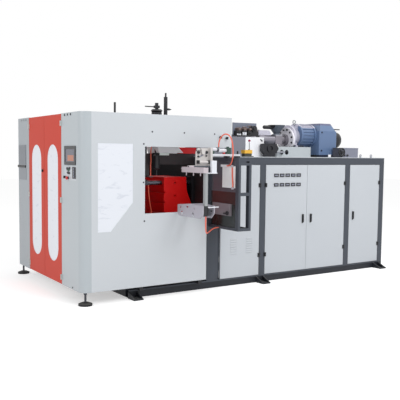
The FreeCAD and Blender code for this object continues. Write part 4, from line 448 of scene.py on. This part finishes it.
nodeFinishes = {
    "slate paint": {"nodes": ["base_frame", "clamp_bed"], "look": "frame", "parts": {"paintedShadeSill": paintedShadeNearFloor}},
    "cabinet slate paint": {"nodes": ["cabinet_frame", "outlet_guard_frame"], "look": "frame",
                            "parts": {"paintedShadeSill": paintedShadeNearFloor}},
    "cabinet panel paint": {"nodes": ["cabinet_panels"], "look": "door", "parts": {
        "lifting eyes": ("steel", (4.2, 0.1, cabinetTop), (4.62, 0.2, 1.65)),
        # painted shade: the inner left sheet is coloured near-black for the shade inside the housing
        "left sheet's painted shade": ("inside", (1.6, 0.09, 0.09), (1.6204, 1.87, 1.56))}},
    "cabinet door paint": {"nodes": ["louvre_door", "meter_door", "plain_door", "right_door"], "look": "door",
                           "parts": {
        "louvre door's handle plate": ("black", (1.86, -far, 0.68), (1.91, proud, 0.83)),
        "louvre door's hinge leaves": ("black", (2.35, -far, 0), (2.41, proud, 1.6)),
        "other doors' meters, plates and leaves": ("black", (2.41, -far, 0), (far, proud, 1.6))}},
    "housing paint": {"nodes": ["housing_front_panel"], "look": "sheet", "coat": 0.1},
    # The corner columns' darker colour is painted shade on their left-facing faces.
    "column paint with painted shade": {"nodes": ["housing_corner_columns"], "look": "column", "coat": 0.1, "parts": {
        "key plate": ("keyPlate", (-0.01, 0.024, 1.303), (0.001, 0.360, 1.450)),
        "rear column": ("rearColumn", (-0.1, 1.5, 0), (0.05, far, far))}},
    "rear sheet paint": {"nodes": ["housing_rear_panels"], "look": "sheet", "coat": 0.1, "parts": {
        # painted shade: the rear panel's inner face is coloured near-black for the shade inside the housing
        "inner face's painted shade": ("inside", (0.1155, 2.0, 0.1395), (1.8795, 2.0555, 2.0165))}},
    "housing tube paint": {"nodes": ["housing_frame"], "look": "black"},
    "door red paint": {"nodes": ["end_door_front", "end_door_rear"], "look": "red", "parts": {
        "hinge leaves": ("celadon", (-far, -far, 0), (proud, far, far))}},
    "hinge paint": {"nodes": ["door_hinges"], "look": "black", "parts": {
        "end doors' hinges": ("celadon", (-far, -far, 0), (0.02, far, far))}},
    "foot rubber": {"nodes": ["levelling_feet"], "look": "rubber", "parts": {
        "spindles": ("gun", (-0.1, -1, 0.034), (0.3, 3, 0.2))}},
    "handle black": {"nodes": ["louvre_door_handle", "meter_door_handle", "plain_door_handle", "right_door_handle",
                               "end_door_latch", "mode_switch"], "look": "black"},
    "panel black": {"nodes": ["operator_panel"], "look": "screen", "parts": {
        "display": ("display", (-0.0055, 0.066, 1.498), (-0.0045, 0.315, 1.633)),
        "lit field": ("displayLit", (-0.0055, 0.087, 1.508), (-0.0045, 0.256, 1.569))}},
    "button green": {"nodes": ["start_button"], "look": "buttonGreen"},
    "stop red": {"nodes": ["emergency_stop"], "look": "redPlastic"},
    "carriage black": {"nodes": ["carriage"], "look": "black"},
    "ground steel": {"nodes": ["tie_bars", "extruder_screw"], "look": "ground"},
    "cast red": {"nodes": ["platen_left", "platen_right"], "look": "casting", "parts": {
        "lower union": ("steel", (0.86, 0.27, 0.78), (0.93, 0.2999, 0.82)),
        "upper bracket": ("gun", (0.86, 0.27, 1.22), (1.01, 0.2999, 1.26))}},
    "bridge paints": {"nodes": ["blow_bridge"], "look": "beam", "parts": {
        "carrier plate": ("satin", (0.9, 0.0, 1.5972), (1.380, 0.5, 1.7)),
        "arm casting": ("brightRed", (1.380, 0.0, 1.5972), (1.7, 0.5, 1.7))}},
    "pin cylinder black": {"nodes": ["blow_pin_cylinder"], "look": "black"},
    "blow pin black": {"nodes": ["blow_pin"], "look": "black", "parts": {
        "guide plate": ("mint", (1.085, 0.19, 1.574), (1.213, 0.26, 1.6025)),
        "guide rod": ("ground", (1.15, 0.15, 1.6026), (1.24, 0.3, 2.02))}},
    "handwheel black": {"nodes": ["height_handwheel"], "look": "black"},
    "head steel": {"nodes": ["die_head", "heater_bands"], "look": "gun", "parts": {
        "bands at the feed end": ("brightBand", (2.95, 0.6, 1.6), (3.3, 1.0, 2.0))}},
    "barrel steel": {"nodes": ["extruder_barrel"], "look": "barrel", "parts": {
        "flange": ("flange", (3.4656, 0.5, 1.6), (3.51, 1.0, 2.1)),
        "throat's seat": ("steel", (3.237, 0.7, 1.86), (3.363, 0.86, 1.88)),
        "front bolts": ("black", (3.45, 0.5, 1.6), (3.4655, 0.679, 2.1)),
        "rear bolts": ("black", (3.45, 0.881, 1.6), (3.4655, 1.1, 2.1)),
        "upper bolts": ("black", (3.45, 0.5, 1.907), (3.4655, 1.1, 2.1)),
        "lower bolts": ("black", (3.45, 0.5, 1.6), (3.4655, 1.1, 1.705))}},
    "hopper steel": {"nodes": ["hopper"], "look": "hopperSteel", "parts": {
        "nozzle": ("black", (3.0, 0.7, 1.9), (3.2175, 0.9, 2.02))}},
    "stand paint": {"nodes": ["extruder_stands"], "look": "pedestal", "parts": {
        # painted shade: the pedestal's inside is coloured near-black for the shade within it
        "pedestal's inside, painted shade": ("inside", (3.158, 0.588, 1.56), (3.767, 0.972, 1.699)),
        "barrel stand": ("black", (2.6, 0.5, 1.56), (2.95, 1.1, 1.9)),
        "saddle and feet": ("mist", (3.158, 0.65, 1.7071), (3.8, 0.91, 1.80))}},
    "motor blue": {"nodes": ["main_motor"], "look": "blue", "parts": {
        "face plate": ("mist", (3.4995, 0.5, 1.5), (3.5342, 1.1, 2.1)),
        "neck": ("lilac", (3.5342, 0.5, 1.5), (3.6399, 1.1, 2.0048)),
        "top housing": ("mist", (3.4995, 0.5, 2.0048), (3.66, 1.1, 2.2)),
        # painted highlight: a light strip along the drum's top, and a paler top plate whose paleness is partly painted
        # sheen
        "drum's painted highlight": ("mist", (3.66, 0.5, 1.982), (3.914, 1.1, 2.010)),
        "drum's top plate with painted sheen": ("lilac", (3.66, 0.5, 2.010), (3.914, 1.1, 2.2)),
        "gear case's top": ("capBlue", (3.9, 0.5, 2.026), (4.2551, 1.1, 2.2)),
        "gear case's foot": ("navy", (3.91, 0.5, 1.5), (4.26, 1.1, 1.5999)),
        "fan cowl": ("black", (4.2552, 0.5, 1.5), (4.6, 1.1, 2.1))}},
    "cover paint": {"nodes": ["barrel_cover"], "look": "chalk", "parts": {
        "grey length": ("ash", (1.8, 0.5, 1.5), (2.6238, 1.1, 1.9)),
        "latch": ("black", (2.86, 0.58, 1.76), (2.93, 0.5998, 1.82)),
        "air duct": ("mist", (2.9612, 0.7, 1.8285), (3.2, 0.9, 2.0)),
        "air duct's end": ("lilac", (2.948, 0.7, 1.8285), (2.9612, 0.9, 2.0))}},
    "blower black": {"nodes": ["feed_blower"], "look": "blowerBlack", "parts": {
        "pipe": ("steel", (3.116, 0.5, 1.6), (3.3, 0.7, 1.66)),
        "case's upper edge": ("barrel", (2.8, 0.4, 1.743), (3.3, 1.0, 2.0))}},
    "manifold paints": {"nodes": ["valve_manifold"], "look": "black", "parts": {
        "pipes": ("brown", (2.4, 0.6, 1.9085), (2.9, 0.6998, 2.1)),
        "back plate": ("manifoldBack", (2.4, 0.6999, 1.8502), (2.9, 0.71, 2.1)),
        "coil": ("black", (2.744, 0.6, 1.894), (2.832, 0.6998, 1.982)),
        "first valve's face": ("white", (2.50, 0.60, 1.8502), (2.57, 0.63, 1.8702)),
        "second valve's face": ("white", (2.59, 0.60, 1.8502), (2.66, 0.63, 1.8902))}},
    "control box paint": {"nodes": ["control_box"], "look": "boxPaint", "parts": {
        "glands": ("black", (4.1, 0.3, cabinetTop), (4.5, 0.3498, 1.612)),
        # painted shade: the control box's left side is coloured darker for the shade on it
        "left side's painted shade": ("boxSidePaintedShade", (4.1, 0.3498, 1.5), (4.1502, 0.6, 1.8))}},
    "valve yellow": {"nodes": ["hand_valve"], "look": "yellow", "parts": {
        "base": ("olive", (2.1, -0.1, 1.5), (2.286, 0.2, 1.6078)),
        "fixing lug": ("black", (2.2852, -0.1, 1.5), (2.4, 0.2, 1.58))}},
    "lever steel": {"nodes": ["hand_valve_lever"], "look": "gun", "parts": {
        "knob": ("magenta", (2.2, 0.0, 1.7475), (2.3, 0.1, 1.8))}},
    "guard sheet": {"nodes": ["outlet_guard_panels"], "look": "slate", "parts": {
        "middle of the sheet": ("umber", (1.6, -0.6, 1.03), (1.7, 0, 1.1712)),
        "foot of the sheet": ("bottle", (1.6, -0.6, 0.7), (1.9, 0, 1.03)),
        "terminal box": ("mauve", (1.6, -0.445, 0.901), (1.65995, -0.085, 1.038)),
        "terminal box's knob": ("black", (1.6, -0.445, 0.9), (1.63995, -0.3, 0.96)),
        "upper plate": ("guardWhite", (1.6, -0.506, 1.217), (1.65995, -0.254, 1.463)),
        "drop hose's lower union": ("rose", (1.6, -0.485, 1.203), (1.65495, -0.459, 1.231)),
        "drop hose's upper union": ("rose", (1.6, -0.471, 1.449), (1.65495, -0.445, 1.477)),
        "arch hose's union above the plate": ("chalk", (1.6, -0.373, 1.4625), (1.65995, -0.261, 1.480)),
        "arch hose's union before the plate": ("chalk", (1.6, -0.373, 1.452), (1.65495, -0.261, 1.480))}},
    "take-out cream": {"nodes": ["takeout_support"], "look": "cream", "parts": {
        "ledge's packers": ("black", (1.6, -0.4, 1.55), (1.9, -0.2, 1.5749)),
        "ledge": ("white", (1.4331, -0.4, 1.5749), (1.9, -0.2, 1.6)),
        "cylinder's left clamp": ("black", (1.246, -0.4, 1.485), (1.266, -0.3421, 1.529)),
        "cylinder's right clamp": ("black", (1.378, -0.4, 1.485), (1.398, -0.3421, 1.529)),
        "slide rail": ("ground", (1.14, -0.36, 1.45), (1.4619, -0.3, 1.4668))}},
    "arm paint": {"nodes": ["takeout_arm"], "look": "rose", "parts": {
        "left deflashing plate": ("deflash", (1.144, -0.65, 0.9), (1.1532, -0.1, 1.06)),
        "right deflashing plate": ("deflash", (1.2848, -0.65, 0.9), (1.3, -0.1, 1.06)),
        "block between the plates": ("black", (1.1532, -0.65, 0.9), (1.2848, -0.1, 1.06)),
        "deflashing bracket": ("white", (1.2089, -0.65, 1.0255), (1.4, -0.6175, 1.0365)),
        "hanging post": ("hangPost", (1.169, -0.65, 1.0467), (1.203, -0.595, 1.3935)),
        "front bracket": ("white", (1.2052, -0.65, 1.38), (1.4, -0.57, 1.55))}},
    "jaw black": {"nodes": ["gripper_jaw"], "look": "gun"},
    "air unit white": {"nodes": ["air_service_unit"], "look": "white", "parts": {
        "filter bowl": ("green", (1.43, -0.4, 1.596), (1.49, -0.3, 1.6305)),
        "ring": ("slate", (1.5165, -0.4, 1.59), (1.5395, -0.3, 1.7)),
        "shut-off block": ("green", (1.6448, -0.4, 1.59), (1.71, -0.3, 1.7)),
        "drain block": ("redPlastic", (1.608, -0.4, 1.59), (1.631, -0.3, 1.6165)),
        "hose nipple": ("black", (1.535, -0.345, 1.668), (1.561, -0.315, 1.7)),
        "elbows on the housing": ("black", (1.6, -0.2, 1.7), (1.9, -0.1, 1.9))}},
    "hose rubber": {"nodes": ["hose_" + name for name in hoseRoutes], "look": "hose"},
}

finished = {}
for name, one in nodeFinishes.items():
    parts = [(low, high, looks[look]) for look, low, high in one.get("parts", {}).values()]
    finished[name] = finish(name, looks[one["look"]], parts, one.get("coat", 0.0))
    dress(one["nodes"], finished[name])
for piece in hosePieces:
    piece.data.materials.append(finished["hose rubber"])

# painted reflection: faint grey strokes laid over the panes for the film's folds
foldReflections = {"turn": (0.7, 0.5, 0.9), "stretch": (5.0, 5.0, 14.0), "from": 0.6, "to": 0.72, "strength": 0.5,
             "colour": tint(204, 210, 222), "gloss": 0.3}


def filmedPane():
    # milky sheet still in its film; the faint grey strokes on it are painted reflections of the film's folds
    material = finish("milky pane", looks["milky"], coat=foldReflections["gloss"])
    tree = material.node_tree
    shader = tree.nodes["Principled BSDF"]
    source = shader.inputs["Base Color"].links[0].from_socket
    place = addNode(tree, "ShaderNodeTexCoord")
    drawn = addNode(tree, "ShaderNodeMapping")
    drawn.inputs["Rotation"].default_value = foldReflections["turn"]
    drawn.inputs["Scale"].default_value = foldReflections["stretch"]
    foldReflection = noise(tree, "foldReflectionNoise")
    reflectionStrokes = addNode(tree, "ShaderNodeMapRange", From_Min=foldReflections["from"], From_Max=foldReflections["to"],
                      To_Max=foldReflections["strength"])
    tree.links.new(place.outputs["Object"], drawn.inputs["Vector"])
    tree.links.new(drawn.outputs["Vector"], foldReflection.inputs["Vector"])
    tree.links.new(foldReflection.outputs["Fac"], reflectionStrokes.inputs["Value"])
    colour = mixed(tree, reflectionStrokes.outputs["Result"], source, foldReflections["colour"], "RGBA")
    tree.links.new(colour, shader.inputs["Base Color"])
    return material


dress(["front_window", "end_door_front_window", "end_door_rear_window"], filmedPane())
print("materials in place")

# Fittings: the screws, plates, keys, readouts, eyebolt, junction block, valve wheel, pin, clamps and brace of the
# photograph, each seated on the CAD face that carries it.
# Their places are in the drawing's metres too.

fittingFinishes = {}


def seat(piece, name, body, look):
    if look not in fittingFinishes:
        fittingFinishes[look] = finish("fitting " + look, looks[look])
    piece.name = name
    piece.data.name = name
    piece.data.materials.clear()
    piece.data.materials.append(fittingFinishes[look])
    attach(piece, body)


def started(add, **values):
    # a primitive of real size at its place, alone selected and with that place in its mesh
    bpy.ops.object.select_all(action="DESELECT")
    add(**values)
    bpy.ops.object.transform_apply(location=True, rotation=True, scale=True)
    bpy.context.view_layer.update()
    return bpy.context.object


def pickFaces(piece, direction):
    nearlyAlong = 0.95
    bpy.ops.mesh.select_all(action="DESELECT")
    bpy.ops.mesh.select_mode(type="FACE")
    shape = bmesh.from_edit_mesh(piece.data)
    for face in shape.faces:
        face.select_set(face.normal.dot(direction) > nearlyAlong)
    bmesh.update_edit_mesh(piece.data)


def turnTo(direction):
    return Vector(direction).to_track_quat("Z", "Y").to_euler()


def sameEachRun():
    # drawing faces in or out leaves them in another order each time, so they're put in order of place
    bpy.ops.mesh.select_all(action="SELECT")
    bpy.ops.mesh.sort_elements(type="CURSOR_DISTANCE", elements={"VERT", "EDGE", "FACE"})


facets = {"screw": 20, "rod": 28, "ring": 32, "wire": 12, "rim": 3, "edge": 2}  # the last two along a rounding
screwShape = {"rim": 0.3, "wall": 0.35, "socket": 0.5}  # rim and socket by height, wall by radius


def screwHead(place, facing, radius, height):
    # rounded rim, and a socket drawn inwards
    direction = Vector(facing)
    piece = started(bpy.ops.mesh.primitive_cylinder_add, vertices=facets["screw"], radius=radius, depth=height,
                    location=at(*place) + direction * height / 2, rotation=turnTo(facing))
    bpy.ops.object.mode_set(mode="EDIT")
    pickFaces(piece, direction)
    bpy.ops.mesh.bevel(offset=height * screwShape["rim"], segments=facets["rim"], affect="EDGES")
    pickFaces(piece, direction)
    bpy.ops.mesh.inset(thickness=radius * screwShape["wall"])
    inwards = -direction * height * screwShape["socket"]
    bpy.ops.mesh.extrude_region_move(TRANSFORM_OT_translate={"value": inwards})
    sameEachRun()
    bpy.ops.object.mode_set(mode="OBJECT")
    return piece


def blockPiece(low, high, rounding=0.001):
    low, high = at(*low), at(*high)
    piece = started(bpy.ops.mesh.primitive_cube_add, size=1, location=(low + high) / 2, scale=high - low)
    bpy.ops.object.mode_set(mode="EDIT")
    bpy.ops.mesh.select_all(action="SELECT")
    bpy.ops.mesh.bevel(offset=rounding, segments=facets["edge"], affect="EDGES")
    bpy.ops.object.mode_set(mode="OBJECT")
    return piece


def rodPiece(start, end, radius, rounding=0.001):
    start, end = at(*start), at(*end)
    sharpFrom = 1.0  # radians
    piece = started(bpy.ops.mesh.primitive_cylinder_add, vertices=facets["rod"], radius=radius,
                    depth=(end - start).length, location=(start + end) / 2, rotation=turnTo(end - start))
    bpy.ops.object.mode_set(mode="EDIT")
    bpy.ops.mesh.select_all(action="DESELECT")
    bpy.ops.mesh.select_mode(type="EDGE")
    bpy.ops.mesh.edges_select_sharp(sharpness=sharpFrom)
    bpy.ops.mesh.bevel(offset=rounding, segments=facets["edge"], affect="EDGES")
    bpy.ops.object.mode_set(mode="OBJECT")
    return piece


def upright(x, y, bottom, top, radius, rounding=0.001):
    return rodPiece((x, y, bottom), (x, y, top), radius, rounding)


def ringPiece(middle, facing, radius, thickness):
    return started(bpy.ops.mesh.primitive_torus_add, location=at(*middle), rotation=turnTo(facing), major_radius=radius,
                   minor_radius=thickness, major_segments=facets["ring"], minor_segments=facets["wire"])


def joined(pieces):
    bpy.context.view_layer.update()
    bpy.ops.object.select_all(action="DESELECT")
    for piece in pieces:
        piece.select_set(True)
    bpy.context.view_layer.objects.active = pieces[0]
    if len(pieces) > 1:
        bpy.ops.object.join()
    return pieces[0]


def spread(piece, places):
    # the first place is the piece's own; the rest get copies, each with its own mesh
    copies = [piece]
    for place in places[1:]:
        copy = piece.copy()
        copy.data = piece.data.copy()
        copy.data.transform(Matrix.Translation(Vector(place) - Vector(places[0])))
        bpy.context.collection.objects.link(copy)
        copies.append(copy)
    return joined(copies)


screwSets = {
    "housing_front_screws": {
        "places": [(x, -0.108, z) for x, z in ((0.823, 1.831), (1.231, 1.829), (1.641, 1.826), (0.718, 1.697),
                                               (0.718, 1.282), (0.730, 0.860))],
        "facing": (0, -1, 0), "radius": 0.009, "height": 0.0035, "look": "gun", "slot": "steel"},
    "column_front_bolts": {
        "places": [(0, y, 1.998) for y in (0.346, 0.262, 0.174)],
        "facing": (-1, 0, 0), "radius": 0.012, "height": 0.005, "look": "gun", "slot": "steel"},
    "column_rear_bolts": {
        "places": [(0, y, 1.993) for y in (1.840, 1.750, 1.662)],
        "facing": (-1, 0, 0), "radius": 0.012, "height": 0.005, "look": "hangPost", "slot": "steel"},
    "gear_case_bolts": {
        "places": [(3.958, 0.550, 1.922), (3.955, 0.550, 1.660)],
        "facing": (0, -1, 0), "radius": 0.013, "height": 0.006, "look": "navy", "slot": "motor_blue"},
    "pedestal_bolts": {
        "places": [(x, 0.600, 1.707) for x in (3.486, 3.572, 3.606, 3.640)],
        "facing": (0, 0, 1), "radius": 0.015, "height": 0.026, "look": "navy", "slot": "steel"},
    "column_low_screw": {
        "places": [(0, 0.135, 0.160)],
        "facing": (-1, 0, 0), "radius": 0.009, "height": 0.0035, "look": "gun", "slot": "steel"},
    "carrier_screws": {
        "places": [(1.25 + 0.026 * i, -0.3421, 1.632) for i in range(5)],
        "facing": (0, -1, 0), "radius": 0.006, "height": 0.004, "look": "black", "slot": "black"},
}


def addScrews():
    for name, one in screwSets.items():
        piece = spread(screwHead(one["places"][0], one["facing"], one["radius"], one["height"]), one["places"])
        seat(piece, name, "machine", one["look"])


rearGrille = {"low": (-0.004, 1.671, 1.440), "high": (0, 1.965, 1.685), "ribs": 12, "rib": 0.007, "proud": 0.006,
              "margin": 0.012}
rearBar = {"low": (-0.012, 1.680, 1.399), "high": (0, 1.985, 1.431), "rounding": 0.003}
rearCover = {"low": (-0.003, 1.664, 1.246), "high": (0, 1.963, 1.391)}


def addRearPlates():
    (x, front, low), (_, back, high) = rearGrille["low"], rearGrille["high"]
    count, margin = rearGrille["ribs"], rearGrille["margin"]
    step = (high - low) / count
    first = blockPiece((x - rearGrille["proud"], front + margin, low + step / 2 - rearGrille["rib"] / 2),
                       (x, back - margin, low + step / 2 + rearGrille["rib"] / 2))
    ribs = spread(first, [(0, 0, step * i) for i in range(count)])
    plate = blockPiece(rearGrille["low"], rearGrille["high"])
    seat(joined([plate, ribs]), "rear_grille", "machine", "rearGrille")
    seat(blockPiece(**rearBar), "rear_grille_bar", "machine", "black")
    seat(blockPiece(**rearCover), "rear_cover_plate", "machine", "rearGrille")


keyLamps = {"x": (-0.002, -0.008), "places": [(0.083, z) for z in (1.345, 1.372, 1.399, 1.426)], "radius": 0.011,
            "rounding": 0.001}
keyCluster = {"x": (-0.001, -0.012), "radius": 0.014, "rounding": 0.002,
              "places": [(0.268, 1.426), (0.236, 1.416), (0.204, 1.430), (0.214, 1.378), (0.242, 1.382)]}


def roundKeys(keys):
    # all stand out of the column's left face, each at its y and z
    start, end = ((x, *keys["places"][0]) for x in keys["x"])
    return spread(rodPiece(start, end, keys["radius"], keys["rounding"]), [(0, *place) for place in keys["places"]])


def addOperatorKeys():
    seat(roundKeys(keyLamps), "key_lamps", "machine", "boxPaint")
    seat(roundKeys(keyCluster), "key_cluster", "machine", "black")


readouts = {"x": 2.665, "pitch": 0.093, "columns": 5, "rows": (1.336, 1.215), "y": (-0.0065, -0.005),
            "halfWidth": 0.024, "halfHeight": 0.008, "rounding": 0.0004}


def addReadouts():
    x, z, (front, back) = readouts["x"], readouts["rows"][0], readouts["y"]
    wide, high = readouts["halfWidth"], readouts["halfHeight"]
    first = blockPiece((x - wide, front, z - high), (x + wide, back, z + high), readouts["rounding"])
    places = [(x + readouts["pitch"] * column, 0, z) for z in readouts["rows"] for column in range(readouts["columns"])]
    seat(spread(first, places), "meter_readouts", "meter_door", "boxPaint")


eyebolt = {"x": 3.629, "y": 0.780, "ring": 2.068, "facing": (1, 0.6, 0), "radius": 0.020, "thickness": 0.007,
           "foot": 2.030, "collarTop": 2.043, "collar": 0.026, "rounding": 0.002, "shankTop": 2.050, "shank": 0.012}


def addEyebolt():
    x, y = eyebolt["x"], eyebolt["y"]
    collar = upright(x, y, eyebolt["foot"], eyebolt["collarTop"], eyebolt["collar"], eyebolt["rounding"])
    shank = upright(x, y, eyebolt["collarTop"], eyebolt["shankTop"], eyebolt["shank"])
    ring = ringPiece((x, y, eyebolt["ring"]), eyebolt["facing"], eyebolt["radius"], eyebolt["thickness"])
    seat(joined([ring, collar, shank]), "gearbox_eyebolt", "machine", "hangPost")


junctionBlock = {"low": (3.906, 0.344, cabinetTop), "high": (3.946, 0.364, 1.604), "rounding": 0.003}
junctionGland = {"start": (3.925, 0.344, 1.585), "end": (3.925, 0.334, 1.585), "radius": 0.009}
coolingWheel = {"x": 4.130, "y": 0.318, "z": 1.641, "radius": 0.053, "rim": 0.011, "hub": 0.022, "hubDepth": 0.016,
                "hubRounding": 0.003, "spoke": 0.006, "spokeAngles": (0.3, 1.35, 2.4), "stem": 0.012,
                "stemBack": 0.006, "stemRounding": 0.002}
shelfPin = {"x": 2.098, "y": 0.060, "top": 1.636, "radius": 0.011, "rounding": 0.003, "collarTop": 1.578,
            "collar": 0.017, "collarRounding": 0.002}


def addCabinetTop():
    box = blockPiece(**junctionBlock)
    gland = rodPiece(**junctionGland)
    seat(joined([box, gland]), "junction_block", "machine", "chalk")
    x, y, z, reach, depth = (coolingWheel[key] for key in ("x", "y", "z", "radius", "hubDepth"))
    rim = ringPiece((x, y, z), (0, -1, 0), reach, coolingWheel["rim"])
    hub = rodPiece((x, y - depth, z), (x, y + depth, z), coolingWheel["hub"], coolingWheel["hubRounding"])
    spokes = [rodPiece((x - reach * math.cos(a), y, z - reach * math.sin(a)),
                       (x + reach * math.cos(a), y, z + reach * math.sin(a)), coolingWheel["spoke"])
              for a in coolingWheel["spokeAngles"]]
    stem = upright(x, y + coolingWheel["stemBack"], cabinetTop, z, coolingWheel["stem"], coolingWheel["stemRounding"])
    seat(joined([rim, hub, stem] + spokes), "cooling_valve_wheel", "machine", "black")
    x, y = shelfPin["x"], shelfPin["y"]
    pin = upright(x, y, cabinetTop, shelfPin["top"], shelfPin["radius"], shelfPin["rounding"])
    collar = upright(x, y, cabinetTop, shelfPin["collarTop"], shelfPin["collar"], shelfPin["collarRounding"])
    seat(joined([pin, collar]), "shelf_pin", "machine", "black")


carrierClamps = {"front": -0.342, "proud": 0.016, "rounding": 0.003,  # x, z and radius of each
                 "heads": ((1.268, 1.614, 0.017), (1.373, 1.614, 0.017), (1.266, 1.568, 0.010), (1.370, 1.575, 0.009))}
carrierBrace = {"start": (1.276, -0.348, 1.560), "end": (1.362, -0.348, 1.606), "radius": 0.006}


def addCarrierClamps():
    front = carrierClamps["front"]
    heads = [rodPiece((x, front, z), (x, front - carrierClamps["proud"], z), radius, carrierClamps["rounding"])
             for x, z, radius in carrierClamps["heads"]]
    seat(joined(heads), "carrier_clamps", "machine", "black")
    seat(rodPiece(**carrierBrace), "carrier_brace", "machine", "boxPaint")


addScrews()
addRearPlates()
addOperatorKeys()
addReadouts()
addEyebolt()
addCabinetTop()
addCarrierClamps()
print("fittings seated")

# Stage and light

# What looks at the floor and the sky sees plain white; the machine gets less light from them
stage = {"size": 60, "grey": 0.82, "roughness": 0.9, "glow": 0.46, "ambient": 0.62}

lamps = {
    "key": {"place": (2.6, -6.0, 6.5), "target": (2.3, 0.7, 1.0), "size": 4.0, "power": 228},
    "side": {"place": (-6.0, -1.0, 4.0), "target": (0.5, 0.7, 1.0), "size": 4.0, "power": 110},
    "top right": {"place": (4.6, -2.2, 5.6), "target": (3.4, 0.7, 1.8), "size": 3.5, "power": 66},
}


def seenAsWhite(tree):
    # one for the camera's rays, direct, mirrored or through glass, and nought for those that light the machine
    path = addNode(tree, "ShaderNodeLightPath")
    seen = addNode(tree, "ShaderNodeMath", operation="MAXIMUM")
    tree.links.new(path.outputs["Is Camera Ray"], seen.inputs[0])
    tree.links.new(path.outputs["Is Glossy Ray"], seen.inputs[1])
    through = addNode(tree, "ShaderNodeMath", operation="MAXIMUM")
    tree.links.new(seen.outputs["Value"], through.inputs[0])
    tree.links.new(path.outputs["Is Transmission Ray"], through.inputs[1])
    return through.outputs["Value"]


def plainStage():
    white = bpy.data.materials.new("floor white")
    white.use_nodes = True
    tree = white.node_tree
    shader = tree.nodes["Principled BSDF"]
    shader.inputs["Base Color"].default_value = (stage["grey"], stage["grey"], stage["grey"], 1)
    shader.inputs["Roughness"].default_value = stage["roughness"]
    shader.inputs["Specular IOR Level"].default_value = 0.0
    glow = addNode(tree, "ShaderNodeMath", operation="MULTIPLY")
    glow.inputs[1].default_value = stage["glow"]
    tree.links.new(seenAsWhite(tree), glow.inputs[0])
    shader.inputs["Emission Color"].default_value = (1, 1, 1, 1)
    tree.links.new(glow.outputs["Value"], shader.inputs["Emission Strength"])
    bpy.ops.object.select_all(action="DESELECT")
    bpy.ops.mesh.primitive_plane_add(size=stage["size"], location=(0, 0, 0))
    floor = bpy.context.object
    floor.name = "floor"
    floor.data.materials.append(white)


def studioLight():
    world = bpy.data.worlds.new("studio")
    bpy.context.scene.world = world
    world.use_nodes = True
    tree = world.node_tree
    sky = tree.nodes["Background"]
    sky.inputs["Color"].default_value = (1, 1, 1, 1)
    level = addNode(tree, "ShaderNodeMapRange", To_Min=stage["ambient"], To_Max=1.0)
    tree.links.new(seenAsWhite(tree), level.inputs["Value"])
    tree.links.new(level.outputs["Result"], sky.inputs["Strength"])


def softBox(name, lamp):
    data = bpy.data.lights.new(name, "AREA")
    data.shape = "SQUARE"
    data.size = lamp["size"]
    data.energy = lamp["power"]
    piece = bpy.data.objects.new(name, data)
    bpy.context.collection.objects.link(piece)
    piece.location = at(*lamp["place"])
    piece.rotation_mode = "QUATERNION"
    piece.rotation_quaternion = (at(*lamp["target"]) - at(*lamp["place"])).to_track_quat("-Z", "Y")


plainStage()
studioLight()
for name, lamp in lamps.items():
    softBox(name, lamp)
print("stage lit")

bpy.context.view_layer.update()
